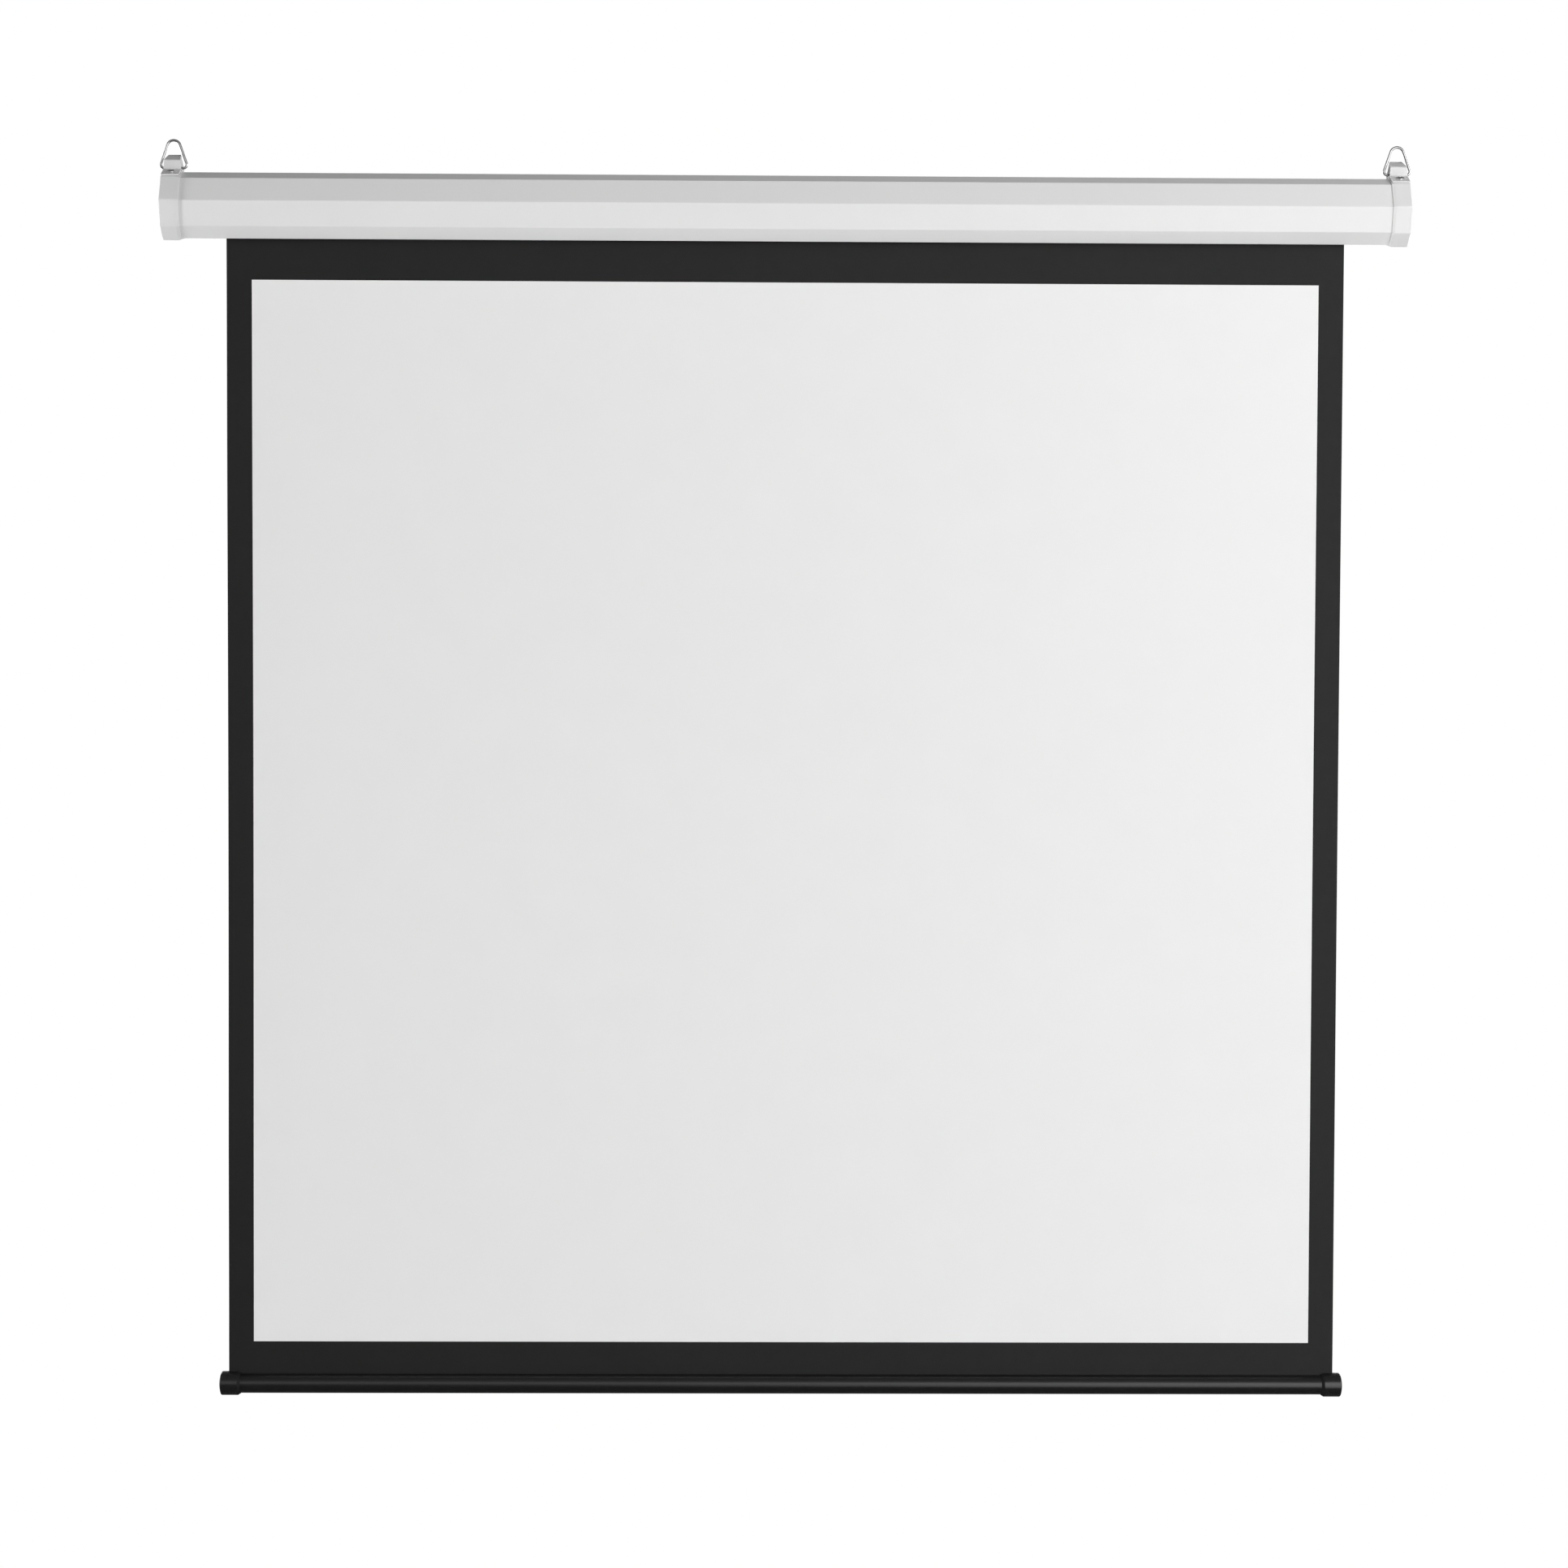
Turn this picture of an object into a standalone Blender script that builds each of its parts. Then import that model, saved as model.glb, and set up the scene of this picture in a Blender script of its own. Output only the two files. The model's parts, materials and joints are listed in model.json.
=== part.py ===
"""Motorized projection screen, lowered: casing, tubular motor, roller, fabric, bottom bar and rings.

Metres, +Z up, X along the casing, the viewer on the -Y side and the wall at Y = 0.
The origin is on the wall plane, at mid length, level with the inside of the ring crowns.
Outlines across the casing are (Y, Z) points that run clockwise as seen with Y to the right.
"""

import math

import bmesh
import bpy
from mathutils import Vector

# Viewing area and fabric
VIEW_WIDTH = 1.524
VIEW_HEIGHT = 1.524
SIDE_BORDER = 0.0358
TOP_DROP = 0.057
BOTTOM_BORDER = 0.0468
FABRIC_THICKNESS = 0.00042
SPARE_TURNS = 2

# Casing section: setbacks are from the casing's front, heights from its lip
CASING_DEPTH = 0.095
CASING_HEIGHT = 0.094
FRONT_FOOT_SETBACK = 0.011
FRONT_FOOT_HEIGHT = 0.0147
FRONT_TOP_HEIGHT = 0.0493
BROW_SETBACK = 0.015
BROW_HEIGHT = 0.083
TOP_SETBACK = 0.036
REAR_KNEE_INSET = 0.017
REAR_KNEE_HEIGHT = 0.009
BACK_FOOT_HEIGHT = 0.024
CASING_WALL = 0.0012
CASING_BEND = 0.002
LIP_WIDTH = 0.003
LIP_TO_FABRIC = 0.00635
REAR_FLANGE = 0.018

# End caps
FABRIC_TO_CAP_END = 0.0887
CAP_LENGTH = 0.0265
CAP_PROUD = 0.00275
CAP_END_WALL = 0.003
CAP_END_FILLET = 0.0015
CAP_RIM_BEVEL = 0.0057
CAP_RIM_EDGE = 0.0005
BOSS_DIAMETER = 0.010
BOSS_LENGTH = 0.0077

# Hanging straps, rings and screws
STRAP_WIDTH = 0.025
STRAP_FOLD_WIDTH = 0.0232
STRAP_TOP_WIDTH = 0.0176
STRAP_THICKNESS = 0.002
STRAP_FOLD_HEIGHT = 0.0132
STRAP_TOP_HEIGHT = 0.0236
STRAP_LOOP_DEPTH = 0.022
STRAP_FOOT_MARGIN = 0.0015
STRAP_TAIL_GAP = 0.003
STRAP_BEND = 0.0012
RING_WIRE = 0.0036
RING_WIDTH = 0.0405
RING_HEIGHT = 0.0431
RING_CROWN_RADIUS = 0.0095
RING_CORNER_RADIUS = 0.005
SCREW_HEAD = 0.012
SCREW_HEAD_HEIGHT = 0.0028
SCREW_HEAD_RIM = 0.001
SCREW_SHANK = 0.0048
SCREW_LENGTH = 0.016
NUT_ACROSS_CORNERS = 0.0092
NUT_THICKNESS = 0.004

# Roller, and what turns with it
ROLLER_BACK_ROOM = 0.031
ROLLER_HEIGHT = 0.050
TUBE_DIAMETER = 0.042
TUBE_WALL = 0.001
TUBE_KEY_WIDTH = 0.003
TUBE_KEY_DEPTH = 0.0015
TUBE_END_ROOM = 0.0215
WHEEL_LENGTH = 0.024
IDLER_PIN_DIAMETER = 0.010

# Motor and the plates that carry the roller
MOTOR_DIAMETER = 0.035
MOTOR_LENGTH = 0.470
MOTOR_HEAD_DIAMETER = 0.044
MOTOR_HEAD_LENGTH = 0.0175
MOTOR_STUD = 0.010
MOTOR_STUD_NECK = 0.008
MOTOR_STUD_END = 0.0022
MOTOR_SOCKET_DEPTH = 0.012
DRIVE_SHAFT_DIAMETER = 0.010
DRIVE_SHAFT_FLAT = 0.008
DRIVE_SHAFT_NECK = 0.007
DRIVE_WHEEL_GAP = 0.007
CLIP_THICKNESS = 0.0012
CLIP_WIDTH = 0.004
PLATE_THICKNESS = 0.002
PLATE_WIDTH = 0.048
PLATE_HEIGHT = 0.052
PLATE_CORNER = 0.006
PLATE_SCREW_OFFSET_Y = 0.017
PLATE_SCREW_OFFSET_Z = 0.019
PLATE_SCREW_HEAD = 0.008
PLATE_SCREW_SHANK = 0.004
BUSH_DIAMETER = 0.016
BUSH_FLANGE_DIAMETER = 0.022
BUSH_FLANGE = 0.002
BUSH_LENGTH = 0.0065

# Cable outlet in the motor end's cap
GROMMET_SETBACK = 0.058
GROMMET_HEIGHT = 0.0155
GROMMET_BORE = 0.007
GROMMET_NECK = 0.011
GROMMET_FLANGE = 0.015
GROMMET_LIP = 0.0015

# Bottom bar
BAR_DIAMETER = 0.028
BAR_WALL = 0.0015
BAR_SLOT = 0.003
BAR_OVERHANG = 0.0137
BAR_CAP_DIAMETER = 0.0342
BAR_CAP_LENGTH = 0.0308
BAR_CAP_WALL = 0.003
BAR_CAP_DOME = 0.006
BAR_CAP_DOME_POWER = 2.6
BAR_CAP_BEVEL = 0.0038
BAR_CAP_RIM = 0.0004
SLIT_MARGIN = 0.002
HEM_ROD_DIAMETER = 0.007
HEM_SWEEP = math.radians(300)

# Clearances between pieces that touch, and between pieces that run on each other
SEAT_GAP = 0.0003
RUN_GAP = 0.0001
CUT_MARGIN = 0.002

# Facets on round pieces and on rounded corners
ROUND_SIDES = 48
ROD_SIDES = 24
WIRE_RESOLUTION = 4
CORNER_STEPS = 2
FILLET_STEPS = 3
DOME_STEPS = 6
HEM_STEPS = 10
RING_CORNER_STEPS = 8
RING_CROWN_STEPS = 7
SHARP_ANGLE = math.radians(35)

# Lengths along X
FABRIC_HALF = VIEW_WIDTH / 2 + SIDE_BORDER
CAP_FACE_X = FABRIC_HALF + FABRIC_TO_CAP_END
CAP_FLOOR_X = CAP_FACE_X - CAP_END_WALL
CAP_MIDDLE_X = CAP_FACE_X - CAP_LENGTH / 2
CASING_END_X = CAP_FLOOR_X - SEAT_GAP
PLATE_OUTER_X = CAP_FLOOR_X - BOSS_LENGTH - SEAT_GAP
PLATE_INNER_X = PLATE_OUTER_X - PLATE_THICKNESS
TUBE_END_X = PLATE_INNER_X - TUBE_END_ROOM
BAR_CAP_FACE_X = FABRIC_HALF + BAR_OVERHANG
BAR_END_X = BAR_CAP_FACE_X - BAR_CAP_WALL - SEAT_GAP

# Heights, counted down from the inside of the ring crowns
RING_AXIS_Z = RING_WIRE - RING_HEIGHT + RING_WIRE / 2
TAIL_TOP_Z = RING_AXIS_Z - RING_WIRE / 2 - SEAT_GAP
CAP_TOP_Z = TAIL_TOP_Z - STRAP_THICKNESS - SEAT_GAP
LIP_Z = CAP_TOP_Z - CAP_PROUD - CASING_HEIGHT
VIEW_TOP_Z = LIP_Z - TOP_DROP
VIEW_BOTTOM_Z = VIEW_TOP_Z - VIEW_HEIGHT
BAR_Z = VIEW_BOTTOM_Z - BOTTOM_BORDER - BAR_DIAMETER / 2
ROLLER_Z = LIP_Z + ROLLER_HEIGHT

# Depths, counted from the wall
CASING_FRONT_Y = -CAP_PROUD - CASING_DEPTH
ROLLER_Y = -CAP_PROUD - ROLLER_BACK_ROOM
WRAP_INNER_RADIUS = TUBE_DIAMETER / 2 + SEAT_GAP
WRAP_OUTER_RADIUS = WRAP_INNER_RADIUS + SPARE_TURNS * FABRIC_THICKNESS
FABRIC_Y = ROLLER_Y - WRAP_OUTER_RADIUS - SEAT_GAP - FABRIC_THICKNESS / 2
LIP_SETBACK = FABRIC_Y - LIP_TO_FABRIC - LIP_WIDTH - CASING_FRONT_Y
REAR_KNEE_SETBACK = CASING_DEPTH - REAR_KNEE_INSET

# The pocket that the fabric's hem makes round its rod, inside the bar
HEM_RADIUS = HEM_ROD_DIAMETER / 2 + SEAT_GAP + FABRIC_THICKNESS / 2
HEM_REACH = BAR_DIAMETER / 2 - BAR_WALL - SEAT_GAP - HEM_RADIUS - FABRIC_THICKNESS / 2
HEM_Z = math.sqrt(HEM_REACH**2 - HEM_RADIUS**2)

LEFT = -1
RIGHT = 1
SIDE_NAMES = {LEFT: "left", RIGHT: "right"}
ALONG_X = (math.pi / 2, 0, math.pi / 2)
TURNED_ALONG_X = (0, math.pi / 2, 0)


# Scene and helpers

def new_collection(name):
    collection = bpy.data.collections.new(name)
    bpy.context.scene.collection.children.link(collection)
    return collection


for old in list(bpy.data.objects):
    bpy.data.objects.remove(old, do_unlink=True)
PARTS = new_collection("motorized_projection_screen")
CUTTERS = new_collection("cutters")


def material(name, colour, roughness, metallic=0.0):
    """A Principled material of one grey or colour."""
    made = bpy.data.materials.new(name)
    made.use_nodes = True
    shader = made.node_tree.nodes["Principled BSDF"]
    shader.inputs["Base Color"].default_value = (*colour, 1)
    shader.inputs["Roughness"].default_value = roughness
    shader.inputs["Metallic"].default_value = metallic
    return made


def place(obj, finish=None, parent=None, location=(0, 0, 0), rotation=(0, 0, 0), smooth=False):
    """Put an object among the parts, or among the cutters where it has no finish."""
    obj.location = location
    obj.rotation_euler = rotation
    obj.parent = parent
    if finish:
        PARTS.objects.link(obj)
        obj.data.materials.append(finish)
    else:
        CUTTERS.objects.link(obj)
        obj.hide_render = True
        obj.display_type = "WIRE"
    if smooth:
        obj.data.shade_smooth()
        obj.data.set_sharp_from_angle(angle=SHARP_ANGLE)
    return obj


def pivot(name, location):
    """An empty on a joint's axis, which carries the pieces that move together."""
    empty = bpy.data.objects.new(name, None)
    empty.location = location
    PARTS.objects.link(empty)
    return empty


def mesh_object(name, bm):
    mesh = bpy.data.meshes.new(name)
    bm.to_mesh(mesh)
    bm.free()
    return bpy.data.objects.new(name, mesh)


def cut(obj, cutter, operation="DIFFERENCE"):
    modifier = obj.modifiers.new(cutter.name, "BOOLEAN")
    modifier.operation = operation
    modifier.object = cutter


# Outlines

def offset_outline(points, distance):
    """The closed outline moved outwards by a distance, with mitred corners."""
    moved = []
    for i, corner in enumerate(points):
        into = (corner - points[i - 1]).normalized()
        out = (points[(i + 1) % len(points)] - corner).normalized()
        normal_in = Vector((-into.y, into.x))
        normal_out = Vector((-out.y, out.x))
        moved.append(corner + (normal_in + normal_out) * distance / (1 + normal_in.dot(normal_out)))
    return moved


def corner_arc(before, corner, after, radius):
    """The arc that rounds one corner, as CORNER_STEPS straight pieces."""
    to_before = (before - corner).normalized()
    to_after = (after - corner).normalized()
    half_angle = to_before.angle(to_after) / 2
    centre = corner + (to_before + to_after).normalized() * radius / math.sin(half_angle)
    reach = radius / math.tan(half_angle)
    start = (corner + to_before * reach - centre).normalized()
    end = (corner + to_after * reach - centre).normalized()
    turns = [start.slerp(end, k / CORNER_STEPS).normalized() for k in range(CORNER_STEPS + 1)]
    return [centre + turn * radius for turn in turns]


def rounded_outline(points, radius):
    """The closed outline with every corner rounded."""
    result = []
    for i, corner in enumerate(points):
        result += corner_arc(points[i - 1], corner, points[(i + 1) % len(points)], radius)
    return result


def rounded_path(points, radius):
    """The open path with its inner corners rounded."""
    result = [points[0]]
    for before, corner, after in zip(points, points[1:], points[2:]):
        result += corner_arc(before, corner, after, radius)
    return result + [points[-1]]


def circle(radius, sides=ROUND_SIDES):
    angles = [2 * math.pi * (k + 0.5) / sides for k in range(sides)]
    return [Vector((radius * math.sin(a), radius * math.cos(a))) for a in angles]


def squared(half_side):
    """A square with as many points as a circle has, for lofts between the two."""
    return [p * half_side / max(abs(p.x), abs(p.y)) for p in circle(1.0)]


def flatted(radius, half_flat):
    """A circle with two flats, one above and one below."""
    return [Vector((p.x, max(-half_flat, min(half_flat, p.y)))) for p in circle(radius)]


def keyed_circle(radius, key_width, key_floor):
    """A circle whose top turns in to a flat floor, for a key or for the groove that takes it."""
    edge = math.asin(key_width / 2 / radius)
    sweep = 2 * math.pi - 2 * edge
    angles = [edge + sweep * k / ROUND_SIDES for k in range(ROUND_SIDES + 1)]
    points = [Vector((radius * math.sin(a), radius * math.cos(a))) for a in angles]
    return points + [Vector((-key_width / 2, key_floor)), Vector((key_width / 2, key_floor))]


def slotted_ring(outer, inner, slot):
    """A round tube's section with a slot along its top."""
    points = []
    for radius, direction in ((outer, 1), (inner, -1)):
        edge = math.asin(slot / 2 / radius)
        sweep = 2 * math.pi - 2 * edge
        angles = [edge + sweep * k / ROUND_SIDES for k in range(ROUND_SIDES + 1)]
        points += [Vector((radius * math.sin(a), radius * math.cos(a))) for a in angles[::direction]]
    return points


def rectangle(width, height):
    corners = ((-1, -1), (-1, 1), (1, 1), (1, -1))
    return [Vector((y * width / 2, z * height / 2)) for y, z in corners]


# Ways to make a solid

def extrusion(name, outlines, length):
    """A flat outline, with any holes, thickened along the object's own Z."""
    curve = bpy.data.curves.new(name, "CURVE")
    curve.dimensions = "2D"
    curve.fill_mode = "BOTH"
    curve.extrude = length / 2
    for outline in outlines:
        spline = curve.splines.new("POLY")
        spline.use_smooth = len(outline) >= ROD_SIDES
        spline.points.add(len(outline) - 1)
        for point, corner in zip(spline.points, outline):
            point.co = (corner.x, corner.y, 0, 1)
        spline.use_cyclic_u = True
    return bpy.data.objects.new(name, curve)


def turned(name, profile, sides=ROUND_SIDES, bored=False):
    """A profile of (radius, height) points turned about the object's own Z, listed down its outer side."""
    bm = bmesh.new()
    points = [bm.verts.new((radius, 0, height)) for radius, height in profile]
    pairs = list(zip(points, points[1:]))
    if bored:
        pairs.append((points[-1], points[0]))
    for pair in pairs:
        bm.edges.new(pair)
    obj = mesh_object(name, bm)
    screw = obj.modifiers.new("turn", "SCREW")
    screw.axis = "Z"
    screw.steps = sides
    screw.render_steps = sides
    screw.use_merge_vertices = True
    screw.merge_threshold = 0.00001
    screw.use_smooth_shade = True
    return obj


def loft(name, sections):
    """A solid through outlines of equal length, each with its own X."""
    bm = bmesh.new()
    loops = [[bm.verts.new((x, *point)) for point in outline] for x, outline in sections]
    for low, high in zip(loops, loops[1:]):
        for i in range(len(low)):
            bm.faces.new((low[i - 1], low[i], high[i], high[i - 1]))
    bm.faces.new(loops[0])
    bm.faces.new(loops[-1])
    bmesh.ops.recalc_face_normals(bm, faces=bm.faces)
    return mesh_object(name, bm)


def sheet(name, path, stations, thickness, side):
    """A bent sheet: a path swept along X through rows of stations, then thickened to one side of it."""
    bm = bmesh.new()
    rows = [[bm.verts.new((x, *point)) for x in row] for point, row in zip(path, stations)]
    for low, high in zip(rows, rows[1:]):
        for i in range(len(low) - 1):
            bm.faces.new((low[i], high[i], high[i + 1], low[i + 1]))
    obj = mesh_object(name, bm)
    solid = obj.modifiers.new("thickness", "SOLIDIFY")
    solid.thickness = thickness
    solid.offset = side
    solid.use_even_offset = True
    return obj


def drill(name, diameter, length, location, rotation):
    """A round cutter about the object's own Z."""
    bm = bmesh.new()
    bmesh.ops.create_cone(
        bm, cap_ends=True, segments=ROD_SIDES, radius1=diameter / 2, radius2=diameter / 2, depth=length
    )
    return place(mesh_object(name, bm), location=location, rotation=rotation)


def box_cutter(name, size, location):
    bm = bmesh.new()
    bmesh.ops.create_cube(bm, size=1)
    bmesh.ops.scale(bm, vec=size, verts=bm.verts)
    return place(mesh_object(name, bm), location=location)


# Finishes

WHITE_PAINT = material("white_paint", (0.80, 0.80, 0.80), 0.42)
WHITE_PLASTIC = material("white_plastic", (0.80, 0.80, 0.80), 0.38)
WHITE_STRAP = material("white_strap_paint", (0.78, 0.78, 0.78), 0.40)
CHROME = material("chrome", (0.80, 0.80, 0.80), 0.10, 1.0)
ZINC = material("zinc_plated_steel", (0.55, 0.56, 0.57), 0.35, 1.0)
MATT_WHITE = material("matt_white_fabric", (0.83, 0.83, 0.83), 0.90)
MATT_BLACK = material("matt_black_fabric", (0.022, 0.022, 0.022), 0.85)
BLACK_PAINT = material("black_paint", (0.013, 0.013, 0.013), 0.38)
BLACK_PLASTIC = material("black_plastic", (0.014, 0.014, 0.014), 0.34)
ALUMINIUM = material("aluminium_tube", (0.66, 0.67, 0.68), 0.40, 1.0)
GREY_NYLON = material("grey_nylon", (0.30, 0.30, 0.31), 0.55)
BLACK_RUBBER = material("black_rubber", (0.03, 0.03, 0.03), 0.75)


# Casing and end caps

def across(setback, height):
    """A point of the casing's section, from its setback behind the front and its height above the lip."""
    return Vector((CASING_FRONT_Y + setback, LIP_Z + height))


LIP = across(LIP_SETBACK, 0)
BROW = across(BROW_SETBACK, BROW_HEIGHT)
TOP_FRONT = across(TOP_SETBACK, CASING_HEIGHT)
REAR_KNEE = across(REAR_KNEE_SETBACK, REAR_KNEE_HEIGHT)
SECTION = [
    LIP,
    across(FRONT_FOOT_SETBACK, FRONT_FOOT_HEIGHT),
    across(0, FRONT_TOP_HEIGHT),
    BROW,
    TOP_FRONT,
    across(CASING_DEPTH, CASING_HEIGHT),
    across(CASING_DEPTH, BACK_FOOT_HEIGHT),
    REAR_KNEE,
]
BROW_AT = SECTION.index(BROW)
UNDERSIDE = (REAR_KNEE - LIP).normalized()
BROW_DIRECTION = (TOP_FRONT - BROW).normalized()
BROW_NORMAL = Vector((-BROW_DIRECTION.y, BROW_DIRECTION.x))
BROW_TURN = (math.atan2(-BROW_NORMAL.x, BROW_NORMAL.y), 0, 0)
GROMMET_SPOT = (-CAP_FACE_X + CAP_END_WALL / 2, *across(GROMMET_SETBACK, GROMMET_HEIGHT))


def cap_outline(offset):
    """The casing's outline moved out by an offset, with its bends kept concentric."""
    return rounded_outline(offset_outline(SECTION, offset), CASING_BEND + offset)


def foot_line():
    """The two ends of the strap foot's underside, on the cap's brow facet."""
    outline = offset_outline(SECTION, CAP_PROUD + SEAT_GAP)
    front = outline[BROW_AT] + BROW_DIRECTION * STRAP_FOOT_MARGIN
    return front, outline[BROW_AT + 1]


FOOT_FRONT, FOOT_REAR = foot_line()
FOOT_MIDDLE = (FOOT_FRONT + FOOT_REAR) / 2 - BROW_DIRECTION * STRAP_THICKNESS / 2


def on_foot(side, height):
    """The point at a height above the strap foot's underside, on its screw's axis."""
    point = FOOT_MIDDLE + BROW_NORMAL * height
    return (side * CAP_MIDDLE_X, *point)


def bracket_drill(name, side):
    """The hole of a bracket's screw, through strap, cap and casing."""
    diameter = SCREW_SHANK + 2 * SEAT_GAP
    return drill(f"{name}_{SIDE_NAMES[side]}", diameter, 2 * SCREW_LENGTH, on_foot(side, 0), BROW_TURN)


def casing_shell():
    path = [LIP + UNDERSIDE * LIP_WIDTH, *SECTION, REAR_KNEE - UNDERSIDE * REAR_FLANGE]
    path = rounded_path(path, CASING_BEND)
    stations = [(-CASING_END_X, CASING_END_X)] * len(path)
    obj = sheet("casing_shell", path, stations, CASING_WALL, 1)
    place(obj, WHITE_PAINT)
    for side in (LEFT, RIGHT):
        cut(obj, bracket_drill("casing_screw_hole", side))


def plate_screw_spots():
    """Where the two screws of a carrier plate stand, at opposite corners of it."""
    return {
        "front": Vector((ROLLER_Y - PLATE_SCREW_OFFSET_Y, ROLLER_Z - PLATE_SCREW_OFFSET_Z)),
        "rear": Vector((ROLLER_Y + PLATE_SCREW_OFFSET_Y, ROLLER_Z + PLATE_SCREW_OFFSET_Z)),
    }


def plate_screw_profile(gap):
    """Half section of a countersunk screw, with a gap added all round for its hole."""
    head = PLATE_SCREW_HEAD / 2 + gap
    shank = PLATE_SCREW_SHANK / 2 + gap
    end = CAP_FACE_X - PLATE_INNER_X + 2 * PLATE_THICKNESS
    top = CUT_MARGIN if gap else -SEAT_GAP
    neck = -SEAT_GAP - head + shank
    return [(0, top), (head, top), (head, -SEAT_GAP), (shank, neck), (shank, -end), (0, -end)]


def end_cap(side):
    name = f"end_cap_{SIDE_NAMES[side]}"
    sections = []
    for k in range(FILLET_STEPS + 1):
        angle = math.pi / 2 * k / FILLET_STEPS
        inset = CAP_END_FILLET * (1 - math.sin(angle))
        sections.append((CAP_END_FILLET * (1 - math.cos(angle)), CAP_PROUD - inset))
    sections.append((CAP_LENGTH - CAP_RIM_BEVEL, CAP_PROUD))
    sections.append((CAP_LENGTH, SEAT_GAP + CAP_RIM_EDGE))
    sections.append((CAP_LENGTH, SEAT_GAP))
    sections.append((CAP_END_WALL, SEAT_GAP))
    obj = loft(name, [(side * (CAP_FACE_X - inward), cap_outline(offset)) for inward, offset in sections])
    place(obj, WHITE_PLASTIC)
    cut(obj, bracket_drill(f"{name}_screw_hole", side))
    for spot, point in plate_screw_spots().items():
        boss_length = BOSS_LENGTH + CUT_MARGIN
        boss_x = side * (CAP_FLOOR_X - BOSS_LENGTH + boss_length / 2)
        boss = drill(f"{name}_boss_{spot}", BOSS_DIAMETER, boss_length, (boss_x, *point), TURNED_ALONG_X)
        cut(obj, boss, "UNION")
        hole = turned(f"{name}_hole_{spot}", plate_screw_profile(SEAT_GAP), ROD_SIDES)
        place(hole, location=(side * CAP_FACE_X, *point), rotation=(0, side * math.pi / 2, 0))
        cut(obj, hole)
    if side == LEFT:
        diameter = GROMMET_NECK + 2 * SEAT_GAP
        depth = CAP_END_WALL + 2 * CUT_MARGIN
        cut(obj, drill("grommet_hole", diameter, depth, GROMMET_SPOT, TURNED_ALONG_X))


def cable_grommet():
    bore = GROMMET_BORE / 2
    neck = GROMMET_NECK / 2
    flange = GROMMET_FLANGE / 2
    half = CAP_END_WALL / 2 + SEAT_GAP
    profile = [
        (bore, half + GROMMET_LIP), (flange, half + GROMMET_LIP), (flange, half), (neck, half),
        (neck, -half), (flange, -half), (flange, -half - GROMMET_LIP), (bore, -half - GROMMET_LIP),
    ]
    obj = turned("cable_grommet", profile, ROD_SIDES, bored=True)
    place(obj, BLACK_RUBBER, location=GROMMET_SPOT, rotation=TURNED_ALONG_X)


# Hanging straps, screws, nuts and rings

def hanging_bracket(side):
    """A strap with a foot on the cap's brow and a closed loop round the ring's base bar."""
    loop_rear = FOOT_REAR.x + STRAP_LOOP_DEPTH
    path = [
        FOOT_FRONT,
        FOOT_REAR,
        Vector((FOOT_REAR.x, CAP_TOP_Z + STRAP_FOLD_HEIGHT)),
        Vector((loop_rear, CAP_TOP_Z + STRAP_TOP_HEIGHT)),
        Vector((loop_rear, TAIL_TOP_Z)),
        Vector((FOOT_REAR.x + STRAP_TAIL_GAP, TAIL_TOP_Z)),
    ]
    widths = [STRAP_WIDTH, STRAP_WIDTH, STRAP_FOLD_WIDTH, STRAP_TOP_WIDTH, STRAP_WIDTH, STRAP_WIDTH]
    corner_count = CORNER_STEPS + 1
    spread = [widths[0]] + [w for w in widths[1:-1] for _ in range(corner_count)] + [widths[-1]]
    middle = side * CAP_MIDDLE_X
    stations = [(middle - width / 2, middle + width / 2) for width in spread]
    name = f"hanging_bracket_{SIDE_NAMES[side]}"
    obj = sheet(name, rounded_path(path, STRAP_BEND), stations, STRAP_THICKNESS, -1)
    place(obj, WHITE_STRAP)
    cut(obj, bracket_drill(f"{name}_screw_hole", side))


def bracket_screw(side):
    """A pan head on the strap's foot, with its shank down through cap and casing."""
    head = SCREW_HEAD / 2
    shank = SCREW_SHANK / 2
    dome = SCREW_HEAD_HEIGHT - SCREW_HEAD_RIM
    profile = []
    for k in range(DOME_STEPS + 1):
        angle = math.pi / 2 * k / DOME_STEPS
        profile.append((head * math.sin(angle), SCREW_HEAD_RIM + dome * math.cos(angle)))
    profile += [(head, 0), (shank, 0), (shank, -SCREW_LENGTH), (0, -SCREW_LENGTH)]
    obj = turned(f"bracket_screw_{SIDE_NAMES[side]}", profile, ROD_SIDES)
    place(obj, CHROME, location=on_foot(side, STRAP_THICKNESS + SEAT_GAP), rotation=BROW_TURN)


def bracket_nut(side):
    """A hexagon nut behind the casing's wall."""
    hexagon = circle(NUT_ACROSS_CORNERS / 2, 6)
    hole = circle(SCREW_SHANK / 2 + SEAT_GAP, ROD_SIDES)
    obj = extrusion(f"bracket_nut_{SIDE_NAMES[side]}", [hexagon, hole], NUT_THICKNESS)
    depth = CAP_PROUD + SEAT_GAP + CASING_WALL + SEAT_GAP + NUT_THICKNESS / 2
    place(obj, ZINC, location=on_foot(side, -depth), rotation=BROW_TURN)


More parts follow.
